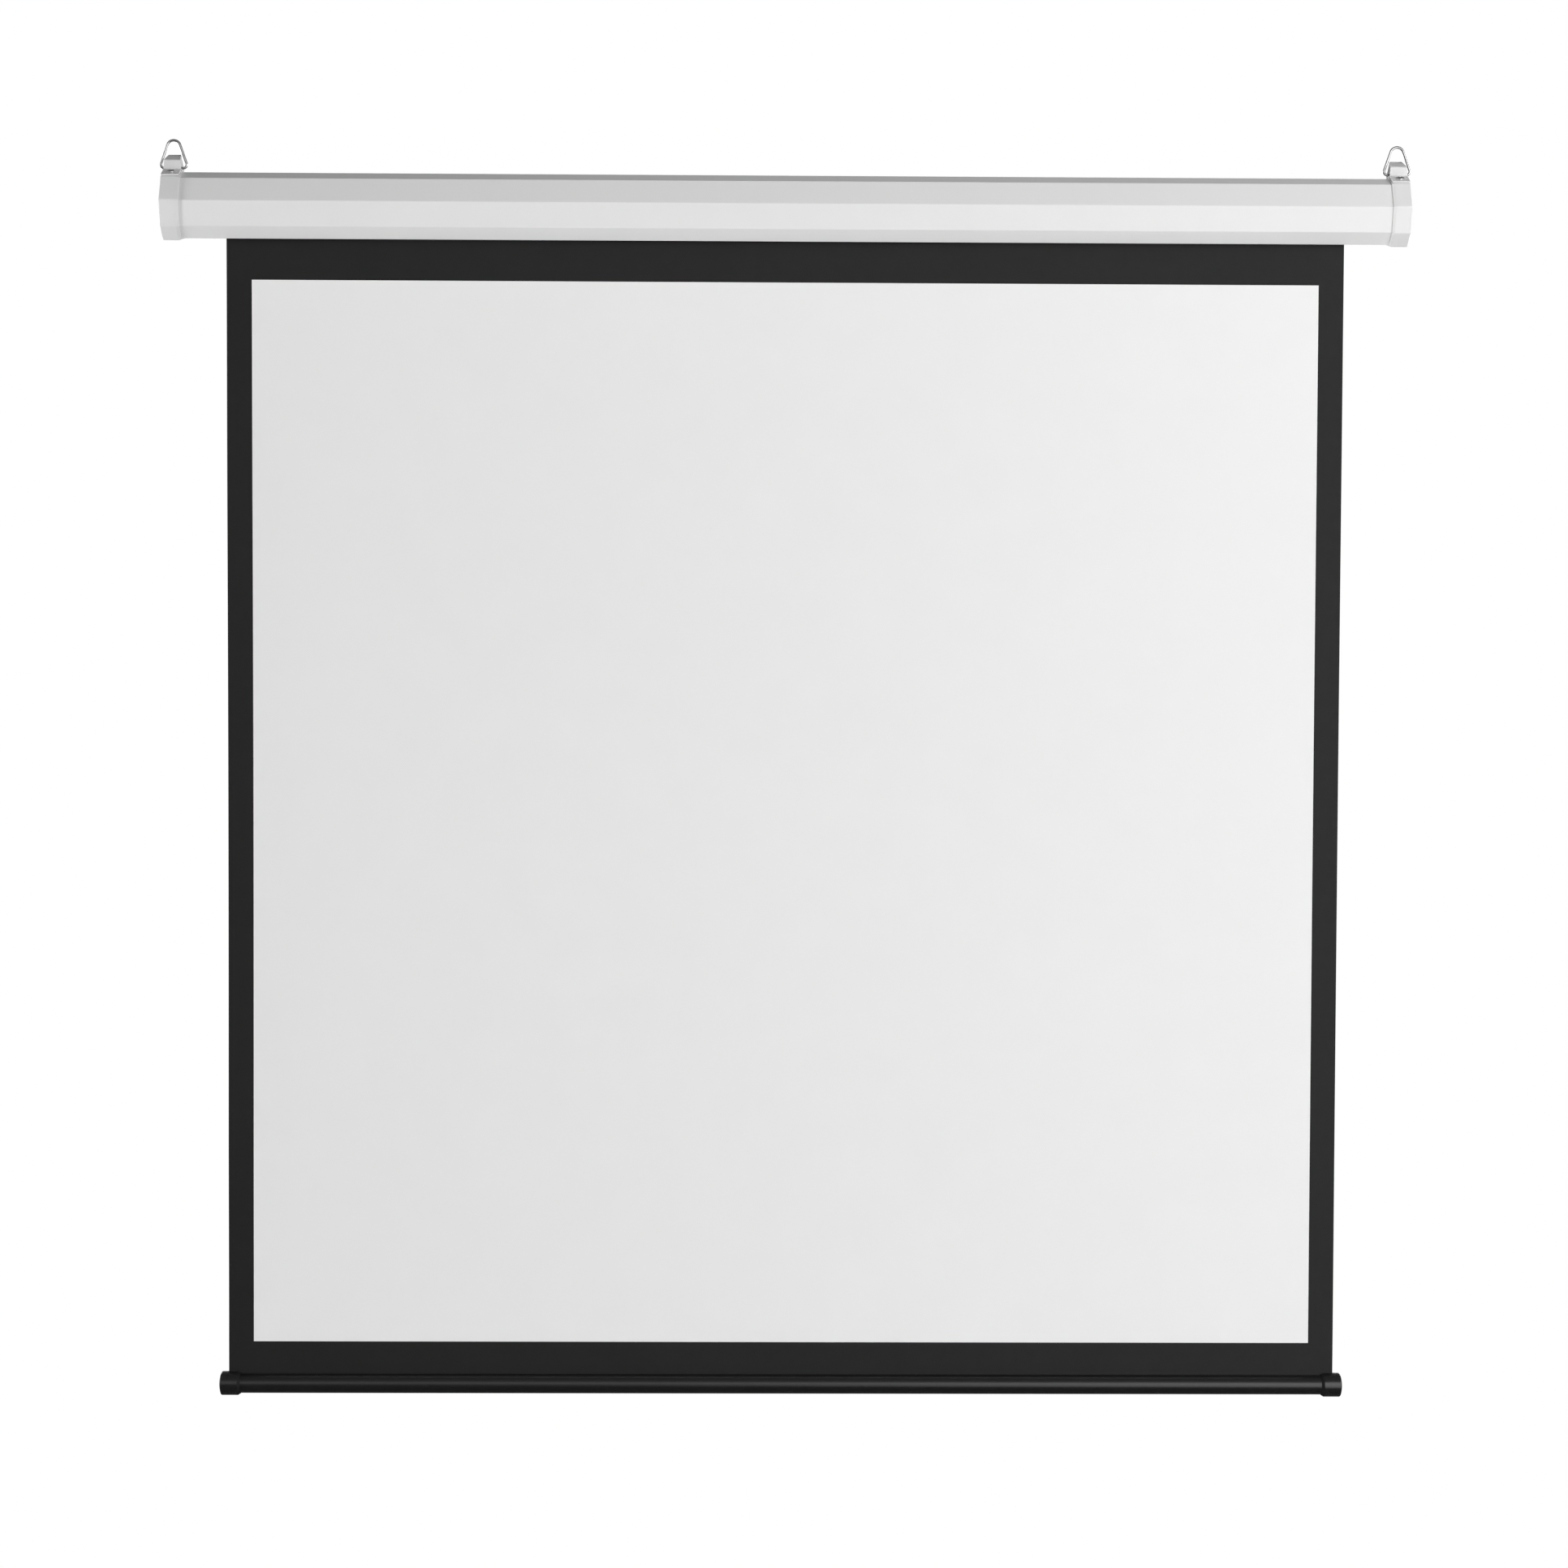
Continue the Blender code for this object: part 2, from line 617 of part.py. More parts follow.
def ring_path():
    """The wire's centre line: a base bar, two round corners and legs that meet in a round crown."""
    corner = Vector((RING_WIDTH / 2 - RING_WIRE / 2 - RING_CORNER_RADIUS, RING_CORNER_RADIUS))
    crown = Vector((0, RING_HEIGHT - RING_WIRE - RING_CROWN_RADIUS))
    between = crown - corner
    lean = math.acos((RING_CORNER_RADIUS - RING_CROWN_RADIUS) / between.length)
    leg_angle = math.atan2(between.y, between.x) - lean
    half = []
    for k in range(RING_CORNER_STEPS + 1):
        angle = -math.pi / 2 + (leg_angle + math.pi / 2) * k / RING_CORNER_STEPS
        half.append(corner + Vector((math.cos(angle), math.sin(angle))) * RING_CORNER_RADIUS)
    for k in range(RING_CROWN_STEPS):
        angle = leg_angle + (math.pi / 2 - leg_angle) * k / RING_CROWN_STEPS
        half.append(crown + Vector((math.cos(angle), math.sin(angle))) * RING_CROWN_RADIUS)
    top = [crown + Vector((0, RING_CROWN_RADIUS))]
    return half + top + [Vector((-p.x, p.y)) for p in reversed(half)]


RING_AXIS_Y = FOOT_REAR.x + STRAP_LOOP_DEPTH / 2


def hanging_ring(side):
    name = f"hanging_ring_{SIDE_NAMES[side]}"
    curve = bpy.data.curves.new(name, "CURVE")
    curve.dimensions = "3D"
    curve.bevel_depth = RING_WIRE / 2
    curve.bevel_resolution = WIRE_RESOLUTION
    path = ring_path()
    spline = curve.splines.new("POLY")
    spline.points.add(len(path) - 1)
    for point, spot in zip(spline.points, path):
        point.co = (spot.x, 0, spot.y, 1)
    spline.use_cyclic_u = True
    spline.use_smooth = True
    location = (side * CAP_MIDDLE_X, RING_AXIS_Y, RING_AXIS_Z)
    place(bpy.data.objects.new(name, curve), CHROME, location=location)


# Plates that carry the roller, with the idler's bush and the plates' screws

def carrier_plate(name, side, hole):
    outline = rounded_outline(rectangle(PLATE_WIDTH, PLATE_HEIGHT), PLATE_CORNER)
    centre = Vector((ROLLER_Y, ROLLER_Z))
    screw_hole = circle(PLATE_SCREW_SHANK / 2 + SEAT_GAP, ROD_SIDES)
    holes = [[p + spot - centre for p in screw_hole] for spot in plate_screw_spots().values()]
    obj = extrusion(name, [outline, hole, *holes], PLATE_THICKNESS)
    middle = side * (PLATE_INNER_X + PLATE_THICKNESS / 2)
    place(obj, ZINC, location=(middle, ROLLER_Y, ROLLER_Z), rotation=ALONG_X)
    for spot, point in plate_screw_spots().items():
        screw = turned(f"{name}_screw_{spot}", plate_screw_profile(0), ROD_SIDES)
        place(screw, ZINC, location=(side * CAP_FACE_X, *point), rotation=(0, side * math.pi / 2, 0))


def idler_bush():
    bore = IDLER_PIN_DIAMETER / 2 + RUN_GAP
    barrel = BUSH_DIAMETER / 2
    flange = BUSH_FLANGE_DIAMETER / 2
    inner = -BUSH_FLANGE
    profile = [(bore, BUSH_LENGTH - BUSH_FLANGE), (barrel, BUSH_LENGTH - BUSH_FLANGE), (barrel, 0)]
    profile += [(flange, 0), (flange, inner), (bore, inner)]
    location = (PLATE_INNER_X - SEAT_GAP, ROLLER_Y, ROLLER_Z)
    place(turned("idler_bush", profile, bored=True), GREY_NYLON, location=location, rotation=TURNED_ALONG_X)


# Motor, fixed at the left end

HEAD_OUTER_X = -PLATE_INNER_X + SEAT_GAP
HEAD_INNER_X = HEAD_OUTER_X + MOTOR_HEAD_LENGTH
MOTOR_START_X = HEAD_INNER_X + SEAT_GAP
MOTOR_END_X = MOTOR_START_X + MOTOR_LENGTH
WHEEL_START_X = MOTOR_END_X + DRIVE_WHEEL_GAP
SHAFT_CLIP_X = WHEEL_START_X + WHEEL_LENGTH + SEAT_GAP


def motor_head():
    """The motor's head, with a necked square stud that passes through the plate."""
    full = squared(MOTOR_STUD / 2)
    neck = squared(MOTOR_STUD_NECK / 2)
    flange = circle(MOTOR_HEAD_DIAMETER / 2)
    seat = circle(MOTOR_DIAMETER / 2)
    neck_end = -PLATE_OUTER_X - CLIP_THICKNESS - 2 * SEAT_GAP
    step = HEAD_OUTER_X + MOTOR_HEAD_LENGTH / 2
    sections = [
        (neck_end - MOTOR_STUD_END, full), (neck_end, full), (neck_end, neck), (-PLATE_OUTER_X, neck),
        (-PLATE_OUTER_X, full), (HEAD_OUTER_X, full), (HEAD_OUTER_X, flange), (step, flange),
        (step, seat), (HEAD_INNER_X, seat),
    ]
    place(loft("motor_head", sections), BLACK_PLASTIC, location=(0, ROLLER_Y, ROLLER_Z), smooth=True)


def motor_retaining_clip():
    """A U clip in the neck of the motor's stud, outside the plate."""
    inner = MOTOR_STUD_NECK / 2 + SEAT_GAP
    outer = inner + CLIP_WIDTH
    corners = [(-outer, -outer), (-outer, outer), (outer, outer), (outer, -outer)]
    corners += [(inner, -outer), (inner, inner), (-inner, inner), (-inner, -outer)]
    obj = extrusion("motor_retaining_clip", [[Vector(c) for c in corners]], CLIP_THICKNESS)
    x = -PLATE_OUTER_X - SEAT_GAP - CLIP_THICKNESS / 2
    place(obj, ZINC, location=(x, ROLLER_Y, ROLLER_Z), rotation=ALONG_X)


def motor_body():
    """The motor's tube, with a socket in its end that the drive shaft turns in."""
    radius = MOTOR_DIAMETER / 2
    socket = DRIVE_SHAFT_DIAMETER / 2 + RUN_GAP
    floor = MOTOR_LENGTH - MOTOR_SOCKET_DEPTH
    profile = [(0, floor), (socket, floor), (socket, MOTOR_LENGTH)]
    profile += [(radius, MOTOR_LENGTH), (radius, 0), (0, 0)]
    location = (MOTOR_START_X, ROLLER_Y, ROLLER_Z)
    place(turned("motor_body", profile), ZINC, location=location, rotation=TURNED_ALONG_X)


# Roller, carried on an empty on its axis

def roller():
    axis = pivot("roller_axis", (0, ROLLER_Y, ROLLER_Z))
    bore = TUBE_DIAMETER / 2 - TUBE_WALL
    key_tip = bore - TUBE_KEY_DEPTH
    fit = keyed_circle(bore - SEAT_GAP, TUBE_KEY_WIDTH + 2 * SEAT_GAP, key_tip - SEAT_GAP)
    inside = keyed_circle(bore, TUBE_KEY_WIDTH, key_tip)
    tube = extrusion("roller_tube", [circle(TUBE_DIAMETER / 2), inside], 2 * TUBE_END_X)
    place(tube, ALUMINIUM, axis, rotation=ALONG_X)
    wrap = extrusion("fabric_wrap", [circle(WRAP_OUTER_RADIUS), circle(WRAP_INNER_RADIUS)], 2 * FABRIC_HALF)
    place(wrap, MATT_BLACK, axis, rotation=ALONG_X)

    crown = extrusion("motor_crown_ring", [fit, circle(MOTOR_DIAMETER / 2 + RUN_GAP)], WHEEL_LENGTH)
    place(crown, GREY_NYLON, axis, (-TUBE_END_X + WHEEL_LENGTH / 2, 0, 0), ALONG_X)
    shaft_bore = flatted(DRIVE_SHAFT_DIAMETER / 2 + SEAT_GAP, DRIVE_SHAFT_FLAT / 2 + SEAT_GAP)
    wheel = extrusion("drive_wheel", [fit, shaft_bore], WHEEL_LENGTH)
    place(wheel, GREY_NYLON, axis, (WHEEL_START_X + WHEEL_LENGTH / 2, 0, 0), ALONG_X)
    plug = extrusion("idler_plug", [fit, circle(IDLER_PIN_DIAMETER / 2 + SEAT_GAP)], WHEEL_LENGTH)
    place(plug, GREY_NYLON, axis, (TUBE_END_X - WHEEL_LENGTH / 2, 0, 0), ALONG_X)

    drive_shaft(axis)
    drive_wheel_clip(axis)
    radius = IDLER_PIN_DIAMETER / 2
    pin_end = PLATE_OUTER_X + BUSH_LENGTH
    pin_start = TUBE_END_X - WHEEL_LENGTH
    pin = turned("idler_pin", [(0, pin_end), (radius, pin_end), (radius, pin_start), (0, pin_start)])
    place(pin, ZINC, axis, rotation=TURNED_ALONG_X)


def drive_shaft(axis):
    """Round in the motor's socket, flatted in the wheel, necked for its clip."""
    round_end = circle(DRIVE_SHAFT_DIAMETER / 2)
    flats = flatted(DRIVE_SHAFT_DIAMETER / 2, DRIVE_SHAFT_FLAT / 2)
    neck = circle(DRIVE_SHAFT_NECK / 2)
    start = MOTOR_END_X - MOTOR_SOCKET_DEPTH + SEAT_GAP
    shoulder = WHEEL_START_X - SEAT_GAP
    neck_end = SHAFT_CLIP_X + CLIP_THICKNESS + SEAT_GAP
    sections = [
        (start, round_end), (shoulder, round_end), (shoulder, flats), (SHAFT_CLIP_X, flats),
        (SHAFT_CLIP_X, neck), (neck_end, neck), (neck_end, flats), (neck_end + CLIP_WIDTH, flats),
    ]
    place(loft("drive_shaft", sections), ZINC, axis, smooth=True)


def drive_wheel_clip(axis):
    """An open ring in the neck of the drive shaft."""
    inner = DRIVE_SHAFT_NECK / 2 + SEAT_GAP
    outline = slotted_ring(inner + CLIP_WIDTH, inner, inner)
    clip = extrusion("drive_wheel_clip", [outline], CLIP_THICKNESS)
    place(clip, ZINC, axis, (SHAFT_CLIP_X + SEAT_GAP / 2 + CLIP_THICKNESS / 2, 0, 0), ALONG_X)


# Fabric, and the bar that weights it

def screen_fabric():
    """One sheet from the roller down through the bar's slot to a hem round the rod."""
    hem_z = BAR_Z + HEM_Z
    heights = [ROLLER_Z, VIEW_TOP_Z, VIEW_BOTTOM_Z, hem_z]
    path = [Vector((FABRIC_Y, z)) for z in heights]
    hem_centre = Vector((FABRIC_Y + HEM_RADIUS, hem_z))
    for k in range(1, HEM_STEPS + 1):
        angle = math.pi + HEM_SWEEP * k / HEM_STEPS
        path.append(hem_centre + Vector((math.cos(angle), math.sin(angle))) * HEM_RADIUS)
    columns = (-FABRIC_HALF, -VIEW_WIDTH / 2, VIEW_WIDTH / 2, FABRIC_HALF)
    obj = sheet("screen_fabric", path, [columns] * len(path), FABRIC_THICKNESS, 0)
    place(obj, MATT_BLACK)
    obj.data.materials.append(MATT_WHITE)
    for face in obj.data.polygons:
        on_view = abs(face.center.x) < VIEW_WIDTH / 2 and VIEW_BOTTOM_Z < face.center.z < VIEW_TOP_Z
        face.material_index = 1 if on_view else 0


def bar_cap(side, carriage):
    """A domed sleeve over the bar's end, slit along its top for the fabric."""
    name = f"bar_cap_{SIDE_NAMES[side]}"
    outer = BAR_CAP_DIAMETER / 2
    bore = BAR_DIAMETER / 2 + SEAT_GAP
    power = BAR_CAP_DOME_POWER
    profile = []
    for k in range(DOME_STEPS + 1):
        share = math.sin(math.pi / 2 * k / DOME_STEPS)
        drop = 1 - (1 - share**power) ** (1 / power)
        profile.append((outer * share, -BAR_CAP_DOME * drop))
    rim = bore + BAR_CAP_RIM
    profile += [(outer, BAR_CAP_BEVEL - BAR_CAP_LENGTH), (rim, -BAR_CAP_LENGTH), (bore, -BAR_CAP_LENGTH)]
    profile += [(bore, -BAR_CAP_WALL), (0, -BAR_CAP_WALL)]
    obj = turned(name, profile)
    place(obj, BLACK_PLASTIC, carriage, (side * BAR_CAP_FACE_X, 0, 0), (0, side * math.pi / 2, 0))
    slit_start = BAR_CAP_FACE_X - BAR_CAP_LENGTH - CUT_MARGIN
    slit_end = FABRIC_HALF + SLIT_MARGIN
    size = (slit_end - slit_start, BAR_SLOT, outer)
    middle = (side * (slit_start + slit_end) / 2, FABRIC_Y, BAR_Z + bore / 2 + outer / 2)
    cut(obj, box_cutter(f"{name}_slit", size, middle))


def bottom_bar():
    carriage = pivot("bar_carriage", (0, FABRIC_Y, BAR_Z))
    radius = BAR_DIAMETER / 2
    bar = extrusion("bottom_bar", [slotted_ring(radius, radius - BAR_WALL, BAR_SLOT)], 2 * BAR_END_X)
    place(bar, BLACK_PAINT, carriage, rotation=ALONG_X)
    for side in (LEFT, RIGHT):
        bar_cap(side, carriage)
    rod = extrusion("hem_rod", [circle(HEM_ROD_DIAMETER / 2, ROD_SIDES)], 2 * FABRIC_HALF)
    place(rod, ZINC, carriage, (0, HEM_RADIUS, HEM_Z), ALONG_X)


# The assembly

casing_shell()
for end in (LEFT, RIGHT):
    end_cap(end)
    hanging_bracket(end)
    bracket_screw(end)
    bracket_nut(end)
    hanging_ring(end)
cable_grommet()
carrier_plate("motor_bracket", LEFT, rectangle(MOTOR_STUD + 2 * SEAT_GAP, MOTOR_STUD + 2 * SEAT_GAP))
carrier_plate("idler_bracket", RIGHT, circle(BUSH_DIAMETER / 2 + SEAT_GAP))
idler_bush()
motor_head()
motor_retaining_clip()
motor_body()
roller()
screen_fabric()
bottom_bar()
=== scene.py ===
"""Looks of the motorized projection screen: finer pieces over the CAD frame, finishes and stage.

Metres, +Z up, X along the casing, the viewer on the -Y side and the wall at Y = 0.
Outlines across the casing are (Y, Z) points that run clockwise as seen with Y to the right.
"""

import json
import math

import bmesh
import bpy
from mathutils import Matrix, Vector

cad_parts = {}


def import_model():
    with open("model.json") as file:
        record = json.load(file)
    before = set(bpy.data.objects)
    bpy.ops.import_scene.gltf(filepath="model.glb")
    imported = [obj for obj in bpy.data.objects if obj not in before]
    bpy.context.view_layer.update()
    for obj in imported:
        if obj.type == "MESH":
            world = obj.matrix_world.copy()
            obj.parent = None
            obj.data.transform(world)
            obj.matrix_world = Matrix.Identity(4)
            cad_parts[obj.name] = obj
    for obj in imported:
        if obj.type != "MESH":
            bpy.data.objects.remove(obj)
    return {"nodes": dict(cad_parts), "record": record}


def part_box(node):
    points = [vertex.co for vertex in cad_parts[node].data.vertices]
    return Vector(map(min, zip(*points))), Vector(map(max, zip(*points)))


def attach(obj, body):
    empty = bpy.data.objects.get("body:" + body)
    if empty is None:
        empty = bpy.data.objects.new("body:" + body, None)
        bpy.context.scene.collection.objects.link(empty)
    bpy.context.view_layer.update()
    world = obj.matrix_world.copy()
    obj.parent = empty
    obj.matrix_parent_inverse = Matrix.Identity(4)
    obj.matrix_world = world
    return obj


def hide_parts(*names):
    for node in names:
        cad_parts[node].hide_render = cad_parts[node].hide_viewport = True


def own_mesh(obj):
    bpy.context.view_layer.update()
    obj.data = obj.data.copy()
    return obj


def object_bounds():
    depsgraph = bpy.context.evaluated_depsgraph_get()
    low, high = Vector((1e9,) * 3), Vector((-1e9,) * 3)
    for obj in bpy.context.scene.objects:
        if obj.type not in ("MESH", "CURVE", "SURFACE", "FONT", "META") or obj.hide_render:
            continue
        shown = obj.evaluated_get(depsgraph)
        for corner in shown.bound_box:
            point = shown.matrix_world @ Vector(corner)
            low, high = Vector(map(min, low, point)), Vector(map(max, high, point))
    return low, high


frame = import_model()
CAD_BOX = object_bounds()
NODES = frame["nodes"]
SLOT_OF = {part["node"]: part["material_slot"] for part in frame["record"]["subparts"]}
BODIES = frame["record"]["behaviour"]["bodies"]
BODY_OF = {node: body for body, nodes in BODIES.items() for node in nodes}

# Sizes, as in the part's source
VIEW_WIDTH = 1.524
VIEW_HEIGHT = 1.524
TOP_DROP = 0.057
FABRIC_THICKNESS = 0.00042
SPARE_TURNS = 2
CASING_DEPTH = 0.095
CASING_HEIGHT = 0.094
FRONT_FOOT_SETBACK = 0.011
FRONT_FOOT_HEIGHT = 0.0147
FRONT_TOP_HEIGHT = 0.0493
BROW_SETBACK = 0.015
BROW_HEIGHT = 0.083
TOP_SETBACK = 0.036
LIP_SETBACK = 0.032
REAR_KNEE_INSET = 0.017
REAR_KNEE_HEIGHT = 0.009
BACK_FOOT_HEIGHT = 0.024
CASING_WALL = 0.0012
CASING_BEND = 0.002
LIP_WIDTH = 0.003
REAR_FLANGE = 0.018
CAP_END_WALL = 0.003
CAP_END_FILLET = 0.0015
CAP_RIM_BEVEL = 0.0057
BOSS_DIAMETER = 0.010
BOSS_LENGTH = 0.0077
STRAP_WIDTH = 0.025
STRAP_FOLD_WIDTH = 0.0232
STRAP_TOP_WIDTH = 0.0176
STRAP_THICKNESS = 0.002
STRAP_FOLD_HEIGHT = 0.0132
STRAP_TOP_HEIGHT = 0.0236
STRAP_LOOP_DEPTH = 0.022
STRAP_FOOT_MARGIN = 0.0015
STRAP_TAIL_GAP = 0.003
STRAP_BEND = 0.0012
RING_WIRE = 0.0036
RING_WIDTH = 0.0405
RING_HEIGHT = 0.0431
RING_CROWN_RADIUS = 0.0095
RING_CORNER_RADIUS = 0.005
SCREW_HEAD = 0.012
SCREW_HEAD_HEIGHT = 0.0028
SCREW_HEAD_RIM = 0.001
SCREW_SHANK = 0.0048
SCREW_LENGTH = 0.016
TUBE_DIAMETER = 0.042
PLATE_SCREW_OFFSET_Y = 0.017
PLATE_SCREW_OFFSET_Z = 0.019
PLATE_SCREW_HEAD = 0.008
PLATE_SCREW_SHANK = 0.004
PLATE_SCREW_LENGTH = 0.017
GROMMET_SETBACK = 0.058
GROMMET_HEIGHT = 0.0155
GROMMET_BORE = 0.007
GROMMET_NECK = 0.011
GROMMET_FLANGE = 0.015
GROMMET_LIP = 0.0015
BAR_DIAMETER = 0.028
BAR_WALL = 0.0015
BAR_SLOT = 0.003
BAR_CAP_DIAMETER = 0.0342
BAR_CAP_LENGTH = 0.0308
BAR_CAP_WALL = 0.003
BAR_CAP_BEVEL = 0.0038
BAR_CAP_RIM = 0.0004
SLIT_MARGIN = 0.002
HEM_ROD_DIAMETER = 0.007
HEM_SWEEP = math.radians(300)
SEAT_GAP = 0.0003
CUT_MARGIN = 0.002

# Detail that only the looks have
RIM_BREAK = 0.0019
RIM_BREAK_DROP = 0.0001
RIM_EDGE = 0.0013
STRAP_EDGE = 0.0008
STRAP_EDGE_ANGLE = math.radians(60)
RECESS_SPAN = 0.0062
RECESS_WIDTH = 0.0013
RECESS_DEPTH = 0.0020
RECESS_TAPER = 0.55
PLATE_RECESS_SPAN = 0.0044
RUBBER_EDGE = 0.0006
BAR_CAP_CROWN = 0.0026
BAR_CAP_CORNER = 0.0024
BEVEL_TILT = 0.2  # a face of the bar cap's bevel has a normal with more than this along X
BOW_LEFT = 0.00145
BOW_RIGHT = 0.0006
BOW_REACH = 0.25
SEAM_GAP = 0.00002
CURL_DEPTH = 0.004
CURL_REACH = 0.16
WAVE_DEPTH = 0.0009
WAVE_BASE = 0.5
WAVES = ((0.3, 9.1, 1.7, 0.6), (0.2, 15.7, -2.3, 2.1))  # share, radians per metre of X and Z, phase
SLACK_START = 0.25  # shares of the drop over which the waves set in and die out
SLACK_END = 0.2

# Facets
BEND_STEPS = 6
FILLET_STEPS = 6
STRAP_EDGE_STEPS = 3
ROUND_SIDES = 96
SMALL_SIDES = 48
DOME_STEPS = 14
WIRE_RESOLUTION = 8
RING_STEPS = 16
HEM_STEPS = 24
WRAP_STEPS = 96
VIEW_CELLS = 96
SIDE_BORDER_CELLS = 4
DROP_CELLS = 8
LOWER_BORDER_CELLS = 6
SHARP_ANGLE = math.radians(32)

# Places, from the frame
CASING_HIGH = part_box("casing_shell")[1]
CAP_LOW, CAP_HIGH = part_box("end_cap_right")
FABRIC_LOW, FABRIC_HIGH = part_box("screen_fabric")
BAR_LOW, BAR_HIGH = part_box("bottom_bar")
BAR_CAP_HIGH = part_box("bar_cap_right")[1]
TUBE_LOW, TUBE_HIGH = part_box("roller_tube")
FRONT_Y = CASING_HIGH.y - CASING_DEPTH
LIP_Z = CASING_HIGH.z - CASING_HEIGHT
CASING_END_X = CASING_HIGH.x
CAP_FACE_X = CAP_HIGH.x
CAP_LENGTH = CAP_HIGH.x - CAP_LOW.x
CAP_MIDDLE_X = (CAP_HIGH.x + CAP_LOW.x) / 2
CAP_PROUD = CAP_HIGH.y - CASING_HIGH.y
CAP_TOP_Z = CASING_HIGH.z + CAP_PROUD
TAIL_TOP_Z = CAP_TOP_Z + SEAT_GAP + STRAP_THICKNESS
RING_AXIS_Z = TAIL_TOP_Z + SEAT_GAP + RING_WIRE / 2
FABRIC_HALF = FABRIC_HIGH.x
FABRIC_Y = FABRIC_LOW.y + FABRIC_THICKNESS / 2
VIEW_TOP_Z = LIP_Z - TOP_DROP
VIEW_BOTTOM_Z = VIEW_TOP_Z - VIEW_HEIGHT
BAR_Z = BAR_LOW.z + BAR_DIAMETER / 2
BAR_END_X = BAR_HIGH.x
BAR_CAP_FACE_X = BAR_CAP_HIGH.x
ROLLER_Y = (TUBE_LOW.y + TUBE_HIGH.y) / 2
ROLLER_Z = (TUBE_LOW.z + TUBE_HIGH.z) / 2
WRAP_INNER_RADIUS = TUBE_DIAMETER / 2 + SEAT_GAP
HEM_RADIUS = HEM_ROD_DIAMETER / 2 + SEAT_GAP + FABRIC_THICKNESS / 2
HEM_REACH = BAR_DIAMETER / 2 - BAR_WALL - SEAT_GAP - HEM_RADIUS - FABRIC_THICKNESS / 2
HEM_Z = BAR_Z + math.sqrt(HEM_REACH**2 - HEM_RADIUS**2)

LEFT = -1
RIGHT = 1
SIDE_NAMES = {LEFT: "left", RIGHT: "right"}

SCENE = bpy.context.scene
LOOKS = bpy.data.collections.new("looks")
SCENE.collection.children.link(LOOKS)


# Finishes

def add_node(tree, kind, inputs=(), **settings):
    """A node with its settings and inputs, each input either a value or the socket to link."""
    made = tree.nodes.new(kind)
    for name, value in settings.items():
        setattr(made, name, value)
    for name, value in dict(inputs).items():
        if isinstance(value, bpy.types.NodeSocket):
            tree.links.new(value, made.inputs[name])
        else:
            made.inputs[name].default_value = value
    return made


def grey(value):
    return (value, value, value)


WHITE = (1, 1, 1, 1)
WAVE_FACTOR = 20  # what the wave texture multiplies its scale by


class Finish:
    """A Principled material, with the procedural nodes that vary it."""

    def __init__(self, name, metallic, specular):
        self.material = bpy.data.materials.new(name)
        self.material.use_nodes = True
        self.tree = self.material.node_tree
        self.shader = self.tree.nodes["Principled BSDF"]
        self.shader.inputs["Metallic"].default_value = metallic
        self.shader.inputs["Specular IOR Level"].default_value = specular
        self.coordinates = self.node("ShaderNodeTexCoord").outputs["Object"]

    def node(self, kind, inputs=(), **settings):
        return add_node(self.tree, kind, inputs, **settings)

    def noise(self, scale, detail, stretch=(1, 1, 1)):
        """A noise in the object's own space, drawn out along the axes where stretch is small."""
        spread = self.node("ShaderNodeMapping", {"Vector": self.coordinates, "Scale": stretch})
        inputs = {"Vector": spread.outputs["Vector"], "Scale": scale, "Detail": detail}
        return self.node("ShaderNodeTexNoise", inputs).outputs["Fac"]

    def weave(self, pitch):
        """The height of a plain weave whose threads run along X and Z."""
        scale = 2 * math.pi / (WAVE_FACTOR * pitch)
        threads = []
        for direction in ("X", "Z"):
            inputs = {"Vector": self.coordinates, "Scale": scale, "Distortion": 0.4, "Detail": 1.0}
            wave = self.node("ShaderNodeTexWave", inputs, bands_direction=direction)
            threads.append(wave.outputs["Fac"])
        product = self.node("ShaderNodeMath", {0: threads[0], 1: threads[1]}, operation="MULTIPLY")
        return product.outputs["Value"]

    def colour(self, factor, low, high):
        """A base colour that goes from one colour to another with a factor."""
        mix = self.node("ShaderNodeMix", {0: factor, 6: (*low, 1), 7: (*high, 1)}, data_type="RGBA")
        self.tree.links.new(mix.outputs[2], self.shader.inputs["Base Color"])

    def roughness(self, factor, low, high):
        inputs = {"Value": factor, "To Min": low, "To Max": high}
        spread = self.node("ShaderNodeMapRange", inputs)
        self.tree.links.new(spread.outputs["Result"], self.shader.inputs["Roughness"])

    def bump(self, *layers):
        """Bumps laid over each other, each a height socket, a depth in metres and a strength."""
        normal = None
        for height, depth, strength in layers:
            inputs = {"Height": height, "Distance": depth, "Strength": strength}
            if normal:
                inputs["Normal"] = normal
            normal = self.node("ShaderNodeBump", inputs).outputs["Normal"]
        self.tree.links.new(normal, self.shader.inputs["Normal"])


def varied(name, colour, roughness, *bumps, metallic=0.0, specular=0.5):
    """A material whose colour, roughness and height each follow a noise of their own.

    The colour and the roughness are (noise, low, high) and each bump is (noise, depth, strength).
    A noise is (scale, detail), or (scale, detail, stretch).
    """
    finish = Finish(name, metallic, specular)
    finish.colour(finish.noise(*colour[0]), *colour[1:])
    finish.roughness(finish.noise(*roughness[0]), *roughness[1:])
    finish.bump(*((finish.noise(*noise), depth, strength) for noise, depth, strength in bumps))
    return finish.material


def woven(name, low, high, roughness, pitch):
    """A coated screen cloth: a fine plain weave with a mottle of its coating."""
    finish = Finish(name, metallic=0.0, specular=0.25)
    finish.colour(finish.noise(scale=14.0, detail=4.0), grey(low), grey(high))
    finish.roughness(finish.noise(scale=90.0, detail=3.0), *roughness)
    coating = finish.noise(scale=1800.0, detail=2.0)
    finish.bump((finish.weave(pitch), 0.00012, 0.35), (coating, 0.0001, 0.20))
    return finish.material


